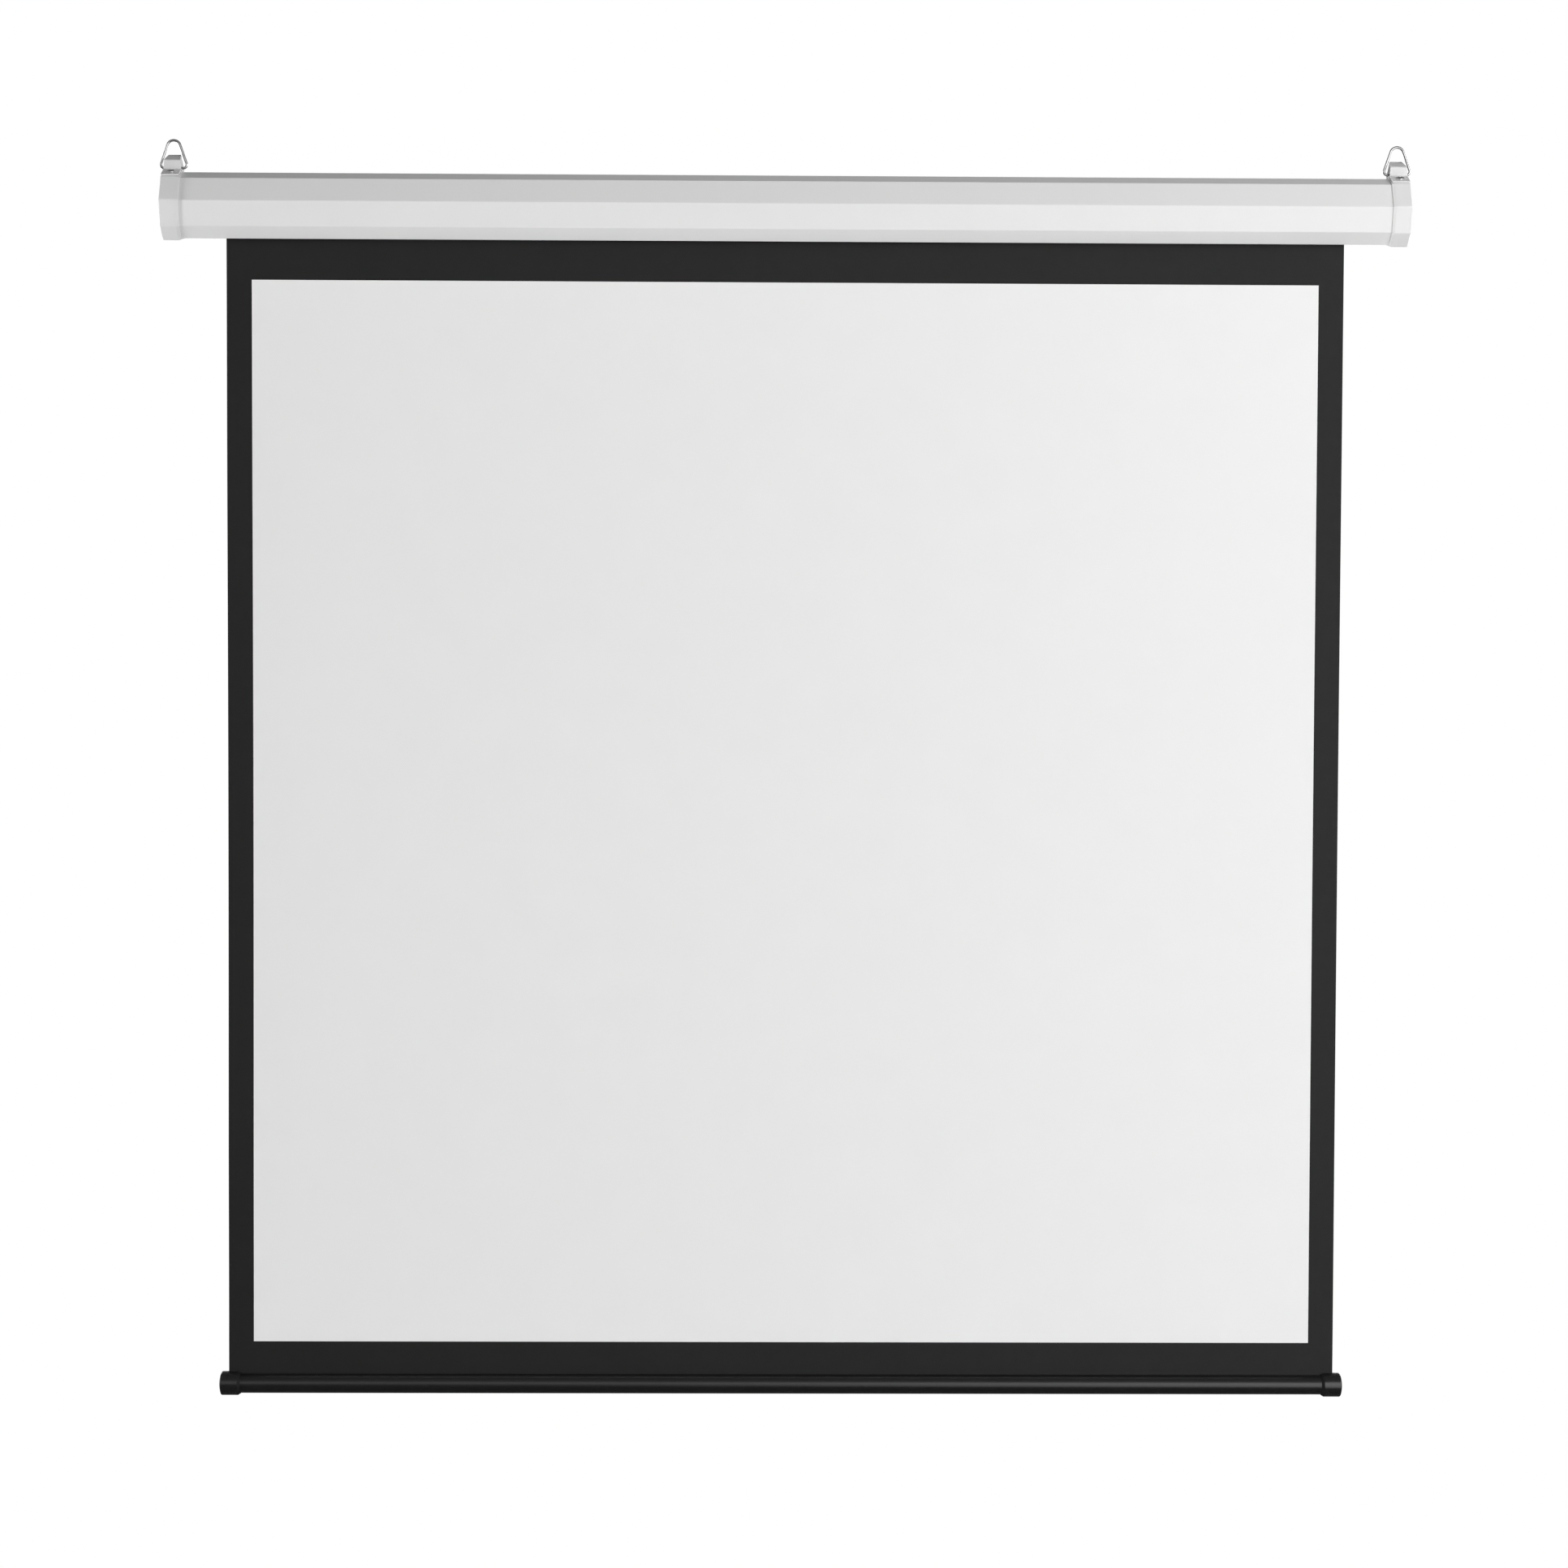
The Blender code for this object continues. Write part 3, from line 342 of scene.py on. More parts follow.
SCREEN_WHITE = woven("screen_white", 0.835, 0.855, (0.82, 0.92), pitch=0.0007)
BORDER_BLACK = woven("border_black", 0.010, 0.013, (0.55, 0.66), pitch=0.0007)
BACKING_BLACK = woven("backing_black", 0.020, 0.026, (0.70, 0.82), pitch=0.0009)
SCREW_FINISH = varied(
    "nickel_plated_screw",
    ((120.0, 3.0), grey(0.70), grey(0.80)),
    ((260.0, 3.0), 0.22, 0.34),
    ((800.0, 3.0), 0.0002, 0.08),
    metallic=1.0,
)
# Black for the bar caps' bevel: matt and finely textured, and a little darker than the caps' black
# plastic. That darker colour is painted shade.
SHADED_TEXTURED_BLACK = varied(
    "black_textured_plastic_with_painted_shade",
    ((60.0, 3.0), grey(0.007), grey(0.010)),
    ((160.0, 3.0), 0.62, 0.74),
    ((2200.0, 3.0), 0.0003, 0.30),
    specular=0.2,
)
FINISHES = {
    "white_paint": varied(
        "white_powder_coat",
        ((7.0, 3.0), grey(0.778), grey(0.806)),
        ((60.0, 3.0), 0.36, 0.44),
        ((650.0, 2.0), 0.0004, 0.10),
        ((9.0, 1.0), 0.003, 0.03),
    ),
    "white_plastic": varied(
        "white_moulded_plastic",
        ((25.0, 3.0), grey(0.745), grey(0.778)),
        ((120.0, 3.0), 0.33, 0.42),
        ((1400.0, 3.0), 0.0003, 0.12),
        ((40.0, 1.0), 0.001, 0.05),
    ),
    "strap_paint": varied(
        "white_strap_paint",
        ((60.0, 4.0), grey(0.70), grey(0.78)),
        ((150.0, 3.0), 0.32, 0.45),
        ((900.0, 3.0), 0.0004, 0.15),
    ),
    "chrome": varied(
        "chrome",
        ((90.0, 3.0), grey(0.44), grey(0.52)),
        ((220.0, 4.0), 0.17, 0.26),
        ((500.0, 3.0), 0.0002, 0.05),
        metallic=1.0,
    ),
    "zinc_steel": varied(
        "zinc_plated_steel",
        ((70.0, 4.0), (0.46, 0.47, 0.48), (0.60, 0.61, 0.60)),
        ((180.0, 4.0), 0.28, 0.45),
        ((700.0, 3.0), 0.0002, 0.10),
        metallic=1.0,
    ),
    "black_rubber": varied(
        "black_rubber",
        ((150.0, 3.0), grey(0.022), grey(0.035)),
        ((300.0, 3.0), 0.62, 0.80),
        ((1500.0, 3.0), 0.0003, 0.20),
        specular=0.3,
    ),
    "grey_nylon": varied(
        "grey_nylon",
        ((80.0, 3.0), (0.27, 0.27, 0.28), (0.33, 0.33, 0.34)),
        ((200.0, 3.0), 0.48, 0.62),
        ((1200.0, 3.0), 0.0003, 0.15),
        specular=0.4,
    ),
    "aluminium_tube": varied(
        "drawn_aluminium",
        ((50.0, 3.0, (0.05, 1, 1)), (0.60, 0.61, 0.62), (0.70, 0.71, 0.72)),
        ((300.0, 3.0, (0.02, 1, 1)), 0.32, 0.48),
        ((900.0, 3.0, (0.01, 1, 1)), 0.0002, 0.12),
        metallic=1.0,
    ),
    "screen_cloth": SCREEN_WHITE,
    "black_cloth": BORDER_BLACK,
    "black_paint": varied(
        "black_satin_paint",
        ((30.0, 3.0), grey(0.0075), grey(0.0105)),
        ((140.0, 3.0), 0.27, 0.35),
        ((1100.0, 2.0), 0.0003, 0.10),
    ),
    "black_plastic": varied(
        "black_moulded_plastic",
        ((60.0, 3.0), grey(0.008), grey(0.012)),
        ((160.0, 3.0), 0.22, 0.30),
        ((1500.0, 3.0), 0.0003, 0.10),
    ),
}


# Outlines

def offset_outline(points, distance):
    """The closed outline moved outwards by a distance, with mitred corners."""
    moved = []
    for i, corner in enumerate(points):
        into = (corner - points[i - 1]).normalized()
        out = (points[(i + 1) % len(points)] - corner).normalized()
        normal_in = Vector((-into.y, into.x))
        normal_out = Vector((-out.y, out.x))
        mitre = (normal_in + normal_out) * distance / (1 + normal_in.dot(normal_out))
        moved.append(corner + mitre)
    return moved


def corner_arc(before, corner, after, radius):
    """The arc that rounds one corner, as BEND_STEPS straight pieces."""
    to_before = (before - corner).normalized()
    to_after = (after - corner).normalized()
    half_angle = to_before.angle(to_after) / 2
    centre = corner + (to_before + to_after).normalized() * radius / math.sin(half_angle)
    reach = radius / math.tan(half_angle)
    start = (corner + to_before * reach - centre).normalized()
    end = (corner + to_after * reach - centre).normalized()
    turns = [start.slerp(end, k / BEND_STEPS).normalized() for k in range(BEND_STEPS + 1)]
    return [centre + turn * radius for turn in turns]


def rounded_outline(points, radius):
    """The closed outline with every corner rounded."""
    result = []
    for i, corner in enumerate(points):
        result += corner_arc(points[i - 1], corner, points[(i + 1) % len(points)], radius)
    return result


def rounded_path(points, radius):
    """The open path with its inner corners rounded."""
    result = [points[0]]
    for before, corner, after in zip(points, points[1:], points[2:]):
        result += corner_arc(before, corner, after, radius)
    return result + [points[-1]]


# Ways to make a piece

def link_object(name, data):
    """An object in the looks collection."""
    obj = bpy.data.objects.new(name, data)
    LOOKS.objects.link(obj)
    return obj


def mesh_object(name, bm, is_open=False):
    """An object from a finished mesh, with its faces turned outwards unless the mesh is open."""
    if not is_open:
        bmesh.ops.recalc_face_normals(bm, faces=bm.faces)
    mesh = bpy.data.meshes.new(name)
    bm.to_mesh(mesh)
    bm.free()
    return link_object(name, mesh)


def evaluated_mesh(obj):
    """A new mesh of the object, with its modifiers or its curve's thickness applied."""
    depsgraph = bpy.context.evaluated_depsgraph_get()
    return bpy.data.meshes.new_from_object(obj.evaluated_get(depsgraph))


def bake(obj):
    """Apply the object's modifiers and keep the result as its mesh."""
    mesh = evaluated_mesh(obj)
    obj.modifiers.clear()
    obj.data = mesh


def carve(obj, cutter, operation="DIFFERENCE"):
    """Cut one object with another, or join them, and drop the cutter."""
    modifier = obj.modifiers.new("cut", "BOOLEAN")
    modifier.operation = operation
    modifier.object = cutter
    modifier.use_self = True
    bake(obj)
    bpy.data.objects.remove(cutter, do_unlink=True)


def settle(obj, finishes=()):
    """Smooth the object's shading between its sharp edges, with flat faces kept flat."""
    bm = bmesh.new()
    bm.from_mesh(obj.data)
    for face in bm.faces:
        face.smooth = True
    for edge in bm.edges:
        edge.smooth = edge.smooth and edge.calc_face_angle(0.0) < SHARP_ANGLE
    bm.to_mesh(obj.data)
    bm.free()
    for finish in finishes:
        obj.data.materials.append(finish)
    modifier = obj.modifiers.new("flat faces", "WEIGHTED_NORMAL")
    modifier.keep_sharp = True
    bake(obj)
    return obj


def stand_for(obj, node):
    """Put the finished object in the place of a CAD node: its body, slot and finish."""
    slot = SLOT_OF[node]
    if not obj.data.materials:
        obj.data.materials.append(FINISHES[slot])
    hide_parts(node)
    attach(obj, BODY_OF[node])


def loft(name, sections, crisp=()):
    """A solid through (X, outline) sections, with sharp edges round the crisp ones."""
    bm = bmesh.new()
    loops = [[bm.verts.new((x, *point)) for point in outline] for x, outline in sections]
    for low, high in zip(loops, loops[1:]):
        for i in range(len(low)):
            bm.faces.new((low[i - 1], low[i], high[i], high[i - 1]))
    bm.faces.new(loops[0])
    bm.faces.new(loops[-1])
    for k in crisp:
        for i in range(len(loops[k])):
            bm.edges.get((loops[k][i - 1], loops[k][i])).smooth = False
    return mesh_object(name, bm)


def bent_sheet(name, path, stations, thickness, side):
    """A path swept along X through rows of stations, then thickened to one side of it."""
    bm = bmesh.new()
    rows = [[bm.verts.new((x, *point)) for x in row] for point, row in zip(path, stations)]
    for low, high in zip(rows, rows[1:]):
        for i in range(len(low) - 1):
            bm.faces.new((low[i], high[i], high[i + 1], low[i + 1]))
    obj = mesh_object(name, bm, is_open=True)
    solid = obj.modifiers.new("thickness", "SOLIDIFY")
    solid.thickness = thickness
    solid.offset = side
    solid.use_even_offset = True
    return obj


def turned(name, profile, sides=SMALL_SIDES, bored=False):
    """A profile of (radius, height) points turned about the object's own Z."""
    bm = bmesh.new()
    angles = [2 * math.pi * k / sides for k in range(sides)]
    rings = []
    for radius, height in profile:
        if radius == 0:
            rings.append([bm.verts.new((0, 0, height))] * sides)
        else:
            spots = [(radius * math.cos(a), radius * math.sin(a), height) for a in angles]
            rings.append([bm.verts.new(spot) for spot in spots])
    pairs = list(zip(rings, rings[1:]))
    if bored:
        pairs.append((rings[-1], rings[0]))
    for low, high in pairs:
        for i in range(sides):
            bm.faces.new(dict.fromkeys((low[i - 1], low[i], high[i], high[i - 1])))
    return mesh_object(name, bm)


def placed(obj, location, turn=Matrix.Identity(3)):
    """Move the object's own mesh to its place in the frame, so the object stays at the origin."""
    obj.data.transform(Matrix.Translation(location) @ turn.to_4x4())
    return obj


def facing(side):
    """The turn that lays an object's own Z along X, outwards at one end."""
    return Matrix.Rotation(side * math.pi / 2, 3, "Y")


def cross_cutter(span):
    """A tapered cross that cuts a driver's recess into a screw head, about the object's own Z."""
    bm = bmesh.new()
    for turn in (0, math.pi / 2):
        made = bmesh.ops.create_cube(bm, size=1)["verts"]
        for vert in made:
            taper = RECESS_TAPER if vert.co.z < 0 else 1
            depth = -RECESS_DEPTH if vert.co.z < 0 else CUT_MARGIN
            vert.co = Vector((vert.co.x * span * taper, vert.co.y * RECESS_WIDTH * taper, depth))
        turn_matrix = Matrix.Rotation(turn, 3, "Z")
        bmesh.ops.rotate(bm, cent=(0, 0, 0), matrix=turn_matrix, verts=made)
    return mesh_object("recess", bm)


def drill(diameter, length):
    """A round cutter about the object's own Z, from 0 down."""
    radius = diameter / 2
    return turned("drill", [(0, 0), (radius, 0), (radius, -length), (0, -length)])


# Casing and end caps

def across(setback, height):
    """A point of the casing's section, by its setback from the front and height above the lip."""
    return Vector((FRONT_Y + setback, LIP_Z + height))


LIP = across(LIP_SETBACK, 0)
BROW = across(BROW_SETBACK, BROW_HEIGHT)
TOP_FRONT = across(TOP_SETBACK, CASING_HEIGHT)
REAR_KNEE = across(CASING_DEPTH - REAR_KNEE_INSET, REAR_KNEE_HEIGHT)
SECTION = [
    LIP,
    across(FRONT_FOOT_SETBACK, FRONT_FOOT_HEIGHT),
    across(0, FRONT_TOP_HEIGHT),
    BROW,
    TOP_FRONT,
    across(CASING_DEPTH, CASING_HEIGHT),
    across(CASING_DEPTH, BACK_FOOT_HEIGHT),
    REAR_KNEE,
]
BROW_AT = SECTION.index(BROW)
UNDERSIDE = (REAR_KNEE - LIP).normalized()
BROW_DIRECTION = (TOP_FRONT - BROW).normalized()
BROW_NORMAL = Vector((-BROW_DIRECTION.y, BROW_DIRECTION.x))
BROW_TURN = Matrix.Rotation(math.atan2(-BROW_NORMAL.x, BROW_NORMAL.y), 3, "X")


def casing_shell():
    path = [LIP + UNDERSIDE * LIP_WIDTH, *SECTION, REAR_KNEE - UNDERSIDE * REAR_FLANGE]
    path = rounded_path(path, CASING_BEND)
    stations = [(-CASING_END_X, CASING_END_X)] * len(path)
    obj = bent_sheet("casing_skin", path, stations, CASING_WALL, 1)
    bake(obj)
    stand_for(settle(obj), "casing_shell")


def cap_outline(offset):
    """The casing's outline moved out by an offset, with its bends kept concentric."""
    return rounded_outline(offset_outline(SECTION, offset), CASING_BEND + offset)


def plate_screw_spots():
    """Where the two screws of a carrier plate stand, at opposite corners of it."""
    step = Vector((PLATE_SCREW_OFFSET_Y, PLATE_SCREW_OFFSET_Z))
    middle = Vector((ROLLER_Y, ROLLER_Z))
    return {"front": middle - step, "rear": middle + step}


def plate_screw_profile(gap):
    """Half section of a countersunk screw, with a gap added all round for its hole."""
    head = PLATE_SCREW_HEAD / 2 + gap
    shank = PLATE_SCREW_SHANK / 2 + gap
    top = CUT_MARGIN if gap else -SEAT_GAP
    neck = -SEAT_GAP - head + shank
    end = -PLATE_SCREW_LENGTH
    return [(0, top), (head, top), (head, -SEAT_GAP), (shank, neck), (shank, end), (0, end)]


def end_cap(side):
    """A moulded cap with a rounded end and a rim that slopes to a low step on the casing."""
    name = f"end_cap_{SIDE_NAMES[side]}"
    sections = []
    for k in range(FILLET_STEPS + 1):
        angle = math.pi / 2 * k / FILLET_STEPS
        inset = CAP_END_FILLET * (1 - math.sin(angle))
        sections.append((CAP_END_FILLET * (1 - math.cos(angle)), CAP_PROUD - inset))
    rim_start = len(sections)
    sections.append((CAP_LENGTH - CAP_RIM_BEVEL, CAP_PROUD))
    sections.append((CAP_LENGTH - CAP_RIM_BEVEL + RIM_BREAK, CAP_PROUD - RIM_BREAK_DROP))
    sections.append((CAP_LENGTH, SEAT_GAP + RIM_EDGE))
    sections.append((CAP_LENGTH, SEAT_GAP))
    sections.append((CAP_END_WALL, SEAT_GAP))
    stations = [(side * (CAP_FACE_X - inward), cap_outline(offset)) for inward, offset in sections]
    crisp = range(rim_start, len(sections))
    obj = loft(f"{name}_moulding", stations, crisp)
    for point in plate_screw_spots().values():
        boss_start = CAP_FACE_X - CAP_END_WALL - BOSS_LENGTH
        boss = drill(BOSS_DIAMETER, BOSS_LENGTH + CAP_END_WALL / 2)
        carve(obj, placed(boss, (side * boss_start, *point), facing(-side)), "UNION")
        hole = turned("hole", plate_screw_profile(SEAT_GAP))
        carve(obj, placed(hole, (side * CAP_FACE_X, *point), facing(side)))
    if side == LEFT:
        start = -CAP_FACE_X - CUT_MARGIN
        hole = drill(GROMMET_NECK + 2 * SEAT_GAP, CAP_END_WALL + 2 * CUT_MARGIN)
        carve(obj, placed(hole, (start, *across(GROMMET_SETBACK, GROMMET_HEIGHT)), facing(side)))
    stand_for(settle(obj), name)


def plate_screws(side, plate):
    for spot, point in plate_screw_spots().items():
        name = f"{plate}_screw_{spot}"
        obj = turned(f"{name}_driven", plate_screw_profile(0))
        carve(obj, placed(cross_cutter(PLATE_RECESS_SPAN), (0, 0, -SEAT_GAP)))
        placed(obj, (side * CAP_FACE_X, *point), facing(side))
        stand_for(settle(obj), name)


def cable_grommet():
    bore = GROMMET_BORE / 2
    neck = GROMMET_NECK / 2
    flange = GROMMET_FLANGE / 2
    half = CAP_END_WALL / 2 + SEAT_GAP
    corners = [
        (bore, half + GROMMET_LIP), (flange, half + GROMMET_LIP), (flange, half), (neck, half),
        (neck, -half), (flange, -half), (flange, -half - GROMMET_LIP), (bore, -half - GROMMET_LIP),
    ]
    profile = rounded_outline([Vector(corner) for corner in corners], RUBBER_EDGE / 2)
    obj = turned("cable_grommet_rubber", profile, bored=True)
    spot = across(GROMMET_SETBACK, GROMMET_HEIGHT)
    placed(obj, (-CAP_FACE_X + CAP_END_WALL / 2, *spot), facing(LEFT))
    stand_for(settle(obj), "cable_grommet")


# Hanging straps, screws and rings

def foot_line():
    """The two ends of the strap foot's underside, on the cap's brow facet."""
    outline = offset_outline(SECTION, CAP_PROUD + SEAT_GAP)
    front = outline[BROW_AT] + BROW_DIRECTION * STRAP_FOOT_MARGIN
    return front, outline[BROW_AT + 1]


FOOT_FRONT, FOOT_REAR = foot_line()
FOOT_MIDDLE = (FOOT_FRONT + FOOT_REAR) / 2 - BROW_DIRECTION * STRAP_THICKNESS / 2
RING_AXIS_Y = FOOT_REAR.x + STRAP_LOOP_DEPTH / 2


def hanging_bracket(side):
    """A strap with a foot on the cap's brow and a closed loop round the ring's base bar."""
    name = f"hanging_bracket_{SIDE_NAMES[side]}"
    loop_rear = FOOT_REAR.x + STRAP_LOOP_DEPTH
    path = [
        FOOT_FRONT,
        FOOT_REAR,
        Vector((FOOT_REAR.x, CAP_TOP_Z + STRAP_FOLD_HEIGHT)),
        Vector((loop_rear, CAP_TOP_Z + STRAP_TOP_HEIGHT)),
        Vector((loop_rear, TAIL_TOP_Z)),
        Vector((FOOT_REAR.x + STRAP_TAIL_GAP, TAIL_TOP_Z)),
    ]
    bend_widths = [STRAP_WIDTH, STRAP_FOLD_WIDTH, STRAP_TOP_WIDTH, STRAP_WIDTH]
    spread = [width for width in bend_widths for _ in range(BEND_STEPS + 1)]
    spread = [STRAP_WIDTH, *spread, STRAP_WIDTH]
    middle = side * CAP_MIDDLE_X
    stations = [(middle - width / 2, middle + width / 2) for width in spread]
    path = rounded_path(path, STRAP_BEND)
    obj = bent_sheet(f"{name}_strap", path, stations, STRAP_THICKNESS, -1)
    edges = obj.modifiers.new("eased edges", "BEVEL")
    edges.width = STRAP_EDGE
    edges.segments = STRAP_EDGE_STEPS
    edges.limit_method = "ANGLE"
    edges.angle_limit = STRAP_EDGE_ANGLE
    bake(obj)
    stand_for(settle(obj), name)


def bracket_screw(side):
    """A pan head with a cross recess on the strap's foot, and its shank."""
    name = f"bracket_screw_{SIDE_NAMES[side]}"
    head = SCREW_HEAD / 2
    shank = SCREW_SHANK / 2
    dome = SCREW_HEAD_HEIGHT - SCREW_HEAD_RIM
    profile = []
    for k in range(DOME_STEPS + 1):
        angle = math.pi / 2 * k / DOME_STEPS
        profile.append((head * math.sin(angle), SCREW_HEAD_RIM + dome * math.cos(angle)))
    profile += [(head, 0), (shank, 0), (shank, -SCREW_LENGTH), (0, -SCREW_LENGTH)]
    obj = turned(f"{name}_driven", profile)
    carve(obj, placed(cross_cutter(RECESS_SPAN), (0, 0, SCREW_HEAD_HEIGHT)))
    seat = FOOT_MIDDLE + BROW_NORMAL * (STRAP_THICKNESS + SEAT_GAP)
    placed(obj, (side * CAP_MIDDLE_X, *seat), BROW_TURN)
    stand_for(settle(obj, [SCREW_FINISH]), name)


def ring_path():
    """The wire's centre line: a base bar, two round corners and legs to a round crown."""
    corner = Vector((RING_WIDTH / 2 - RING_WIRE / 2 - RING_CORNER_RADIUS, RING_CORNER_RADIUS))
    crown = Vector((0, RING_HEIGHT - RING_WIRE - RING_CROWN_RADIUS))
    between = crown - corner
    lean = math.acos((RING_CORNER_RADIUS - RING_CROWN_RADIUS) / between.length)
    leg_angle = math.atan2(between.y, between.x) - lean
    half = []
    for k in range(RING_STEPS + 1):
        angle = -math.pi / 2 + (leg_angle + math.pi / 2) * k / RING_STEPS
        half.append(corner + Vector((math.cos(angle), math.sin(angle))) * RING_CORNER_RADIUS)
    for k in range(RING_STEPS):
        angle = leg_angle + (math.pi / 2 - leg_angle) * k / RING_STEPS
        half.append(crown + Vector((math.cos(angle), math.sin(angle))) * RING_CROWN_RADIUS)
    top = [crown + Vector((0, RING_CROWN_RADIUS))]
    return half + top + [Vector((-p.x, p.y)) for p in reversed(half)]


def hanging_ring(side):
    name = f"hanging_ring_{SIDE_NAMES[side]}"
    curve = bpy.data.curves.new(name, "CURVE")
    curve.dimensions = "3D"
    curve.bevel_depth = RING_WIRE / 2
    curve.bevel_resolution = WIRE_RESOLUTION
    path = ring_path()
    spline = curve.splines.new("POLY")
    spline.points.add(len(path) - 1)
    for point, spot in zip(spline.points, path):
        point.co = (spot.x, 0, spot.y, 1)
    spline.use_cyclic_u = True
    swept = link_object(name, curve)
    mesh = evaluated_mesh(swept)
    bpy.data.objects.remove(swept, do_unlink=True)
    obj = link_object(f"{name}_wire", mesh)
    placed(obj, (side * CAP_MIDDLE_X, RING_AXIS_Y, RING_AXIS_Z))
    stand_for(settle(obj), name)


# Fabric: the sheet down to the end of the viewing area, the lower border with its hem, the roll

def spaced(low, high, count):
    return [low + (high - low) * k / count for k in range(count + 1)]


def joined(*runs):
    """Runs of numbers end to end, with the number that two of them share given once."""
    result = list(runs[0])
    for run in runs[1:]:
        result += run[1:]
    return result


VIEW_HALF = VIEW_WIDTH / 2
COLUMNS = joined(
    spaced(-FABRIC_HALF, -VIEW_HALF, SIDE_BORDER_CELLS),
    spaced(-VIEW_HALF, VIEW_HALF, VIEW_CELLS),
    spaced(VIEW_HALF, FABRIC_HALF, SIDE_BORDER_CELLS),
)
SHEET_ROWS = joined(
    spaced(ROLLER_Z, VIEW_TOP_Z, DROP_CELLS), spaced(VIEW_TOP_Z, VIEW_BOTTOM_Z, VIEW_CELLS)
)
CLOTH_FINISHES = [SCREEN_WHITE, BORDER_BLACK, BACKING_BLACK]
WHITE_FACE, BLACK_FACE, BACKING = range(len(CLOTH_FINISHES))


def clamped(share):
    return max(0.0, min(1.0, share))


def eased(share):
    """A share from 0 to 1, with a smooth start and end."""
    share = clamped(share)
    return share * share * (3 - 2 * share)


def hung(x, z):
    """A point of the hanging sheet, with drawn-in sides, a curled left edge and shallow waves."""
    drop = (LIP_Z - z) / (LIP_Z - VIEW_BOTTOM_Z)
    belly = math.sin(math.pi * clamped(drop))
    bow = BOW_LEFT if x < 0 else BOW_RIGHT
    pulled = bow * belly * eased(1 - (FABRIC_HALF - abs(x)) / BOW_REACH)
    slack = eased(drop / SLACK_START) * eased((1 - drop) / SLACK_END)
    waves = (share * math.sin(along * x + down * z + phase) for share, along, down, phase in WAVES)
    ripple = sum(waves, WAVE_BASE)
    curl = CURL_DEPTH * max(0.0, 1 - (x + FABRIC_HALF) / CURL_REACH) ** 2
    forward = slack * (WAVE_DEPTH * ripple + curl)
    return Vector((x - math.copysign(pulled, x), FABRIC_Y - forward, z))


def never(spot):
    return False


def cloth(name, rows, is_white=never):
    """A closed thin sheet through rows of points, white on its face where is_white says so."""
    bm = bmesh.new()
    last = len(rows) - 1
    front, back = [], []
    for k, row in enumerate(rows):
        middle = len(row) // 2
        ahead = rows[min(k + 1, last)][middle] - rows[max(k - 1, 0)][middle]
        outward = Vector((0, ahead.z, -ahead.y)).normalized() * FABRIC_THICKNESS / 2
        front.append([bm.verts.new(point + outward) for point in row])
        back.append([bm.verts.new(point - outward) for point in row])
    columns = range(len(rows[0]) - 1)

    def face(*corners):
        made = bm.faces.new(corners)
        made.material_index = BLACK_FACE
        return made

    for k in range(last):
        for i in columns:
            seen = face(front[k][i], front[k + 1][i], front[k + 1][i + 1], front[k][i + 1])
            if is_white(seen.calc_center_median()):
                seen.material_index = WHITE_FACE
            behind = face(back[k][i], back[k][i + 1], back[k + 1][i + 1], back[k + 1][i])
            behind.material_index = BACKING
    for k in range(last):
        for i in (0, -1):
            face(front[k][i], back[k][i], back[k + 1][i], front[k + 1][i])
    for k in (0, -1):
        for i in columns:
            face(front[k][i], back[k][i], back[k][i + 1], front[k][i + 1])
    return settle(mesh_object(name, bm), CLOTH_FINISHES)


def in_view(spot):
    return abs(spot.x) < VIEW_HALF - BOW_LEFT and spot.z < VIEW_TOP_Z


def screen_sheet():
    rows = [[hung(x, z) for x in COLUMNS] for z in SHEET_ROWS]
    obj = cloth("screen_sheet", rows, in_view)
    stand_for(obj, "screen_fabric")
    length = ROLLER_Z - VIEW_BOTTOM_Z
    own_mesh(obj)
    return obj, length


def lower_border():
    heights = spaced(VIEW_BOTTOM_Z - SEAM_GAP, HEM_Z, LOWER_BORDER_CELLS)
    path = [Vector((0, FABRIC_Y, z)) for z in heights]
    centre = Vector((0, FABRIC_Y + HEM_RADIUS, HEM_Z))
    for k in range(1, HEM_STEPS + 1):
        angle = math.pi + HEM_SWEEP * k / HEM_STEPS
        path.append(centre + Vector((0, math.cos(angle), math.sin(angle))) * HEM_RADIUS)
    rows = [[point + Vector((x, 0, 0)) for x in COLUMNS] for point in path]
    obj = cloth("lower_border", rows)
    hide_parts("screen_fabric")
    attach(obj, "bottom_bar")
    return obj, VIEW_BOTTOM_Z - HEM_Z + HEM_SWEEP * HEM_RADIUS


def spare_turns():
    """The turns of cloth that stay on the tube, wound in a spiral from its outer end inwards."""
    steps = SPARE_TURNS * WRAP_STEPS
    rows = []
    for k in range(steps + 1):
        turn = math.pi + 2 * math.pi * k / WRAP_STEPS
        layers = 0.5 + (SPARE_TURNS - 1) * (1 - k / steps)
        radius = WRAP_INNER_RADIUS + FABRIC_THICKNESS * layers
        y = ROLLER_Y + radius * math.cos(turn)
        z = ROLLER_Z - radius * math.sin(turn)
        rows.append([Vector((x, y, z)) for x in (-FABRIC_HALF, FABRIC_HALF)])
    obj = cloth("spare_turns", rows)
    stand_for(obj, "fabric_wrap")
    return obj


def fabric():
    sheet, length = screen_sheet()
    border, border_length = lower_border()
    roll = spare_turns()


# Bottom bar

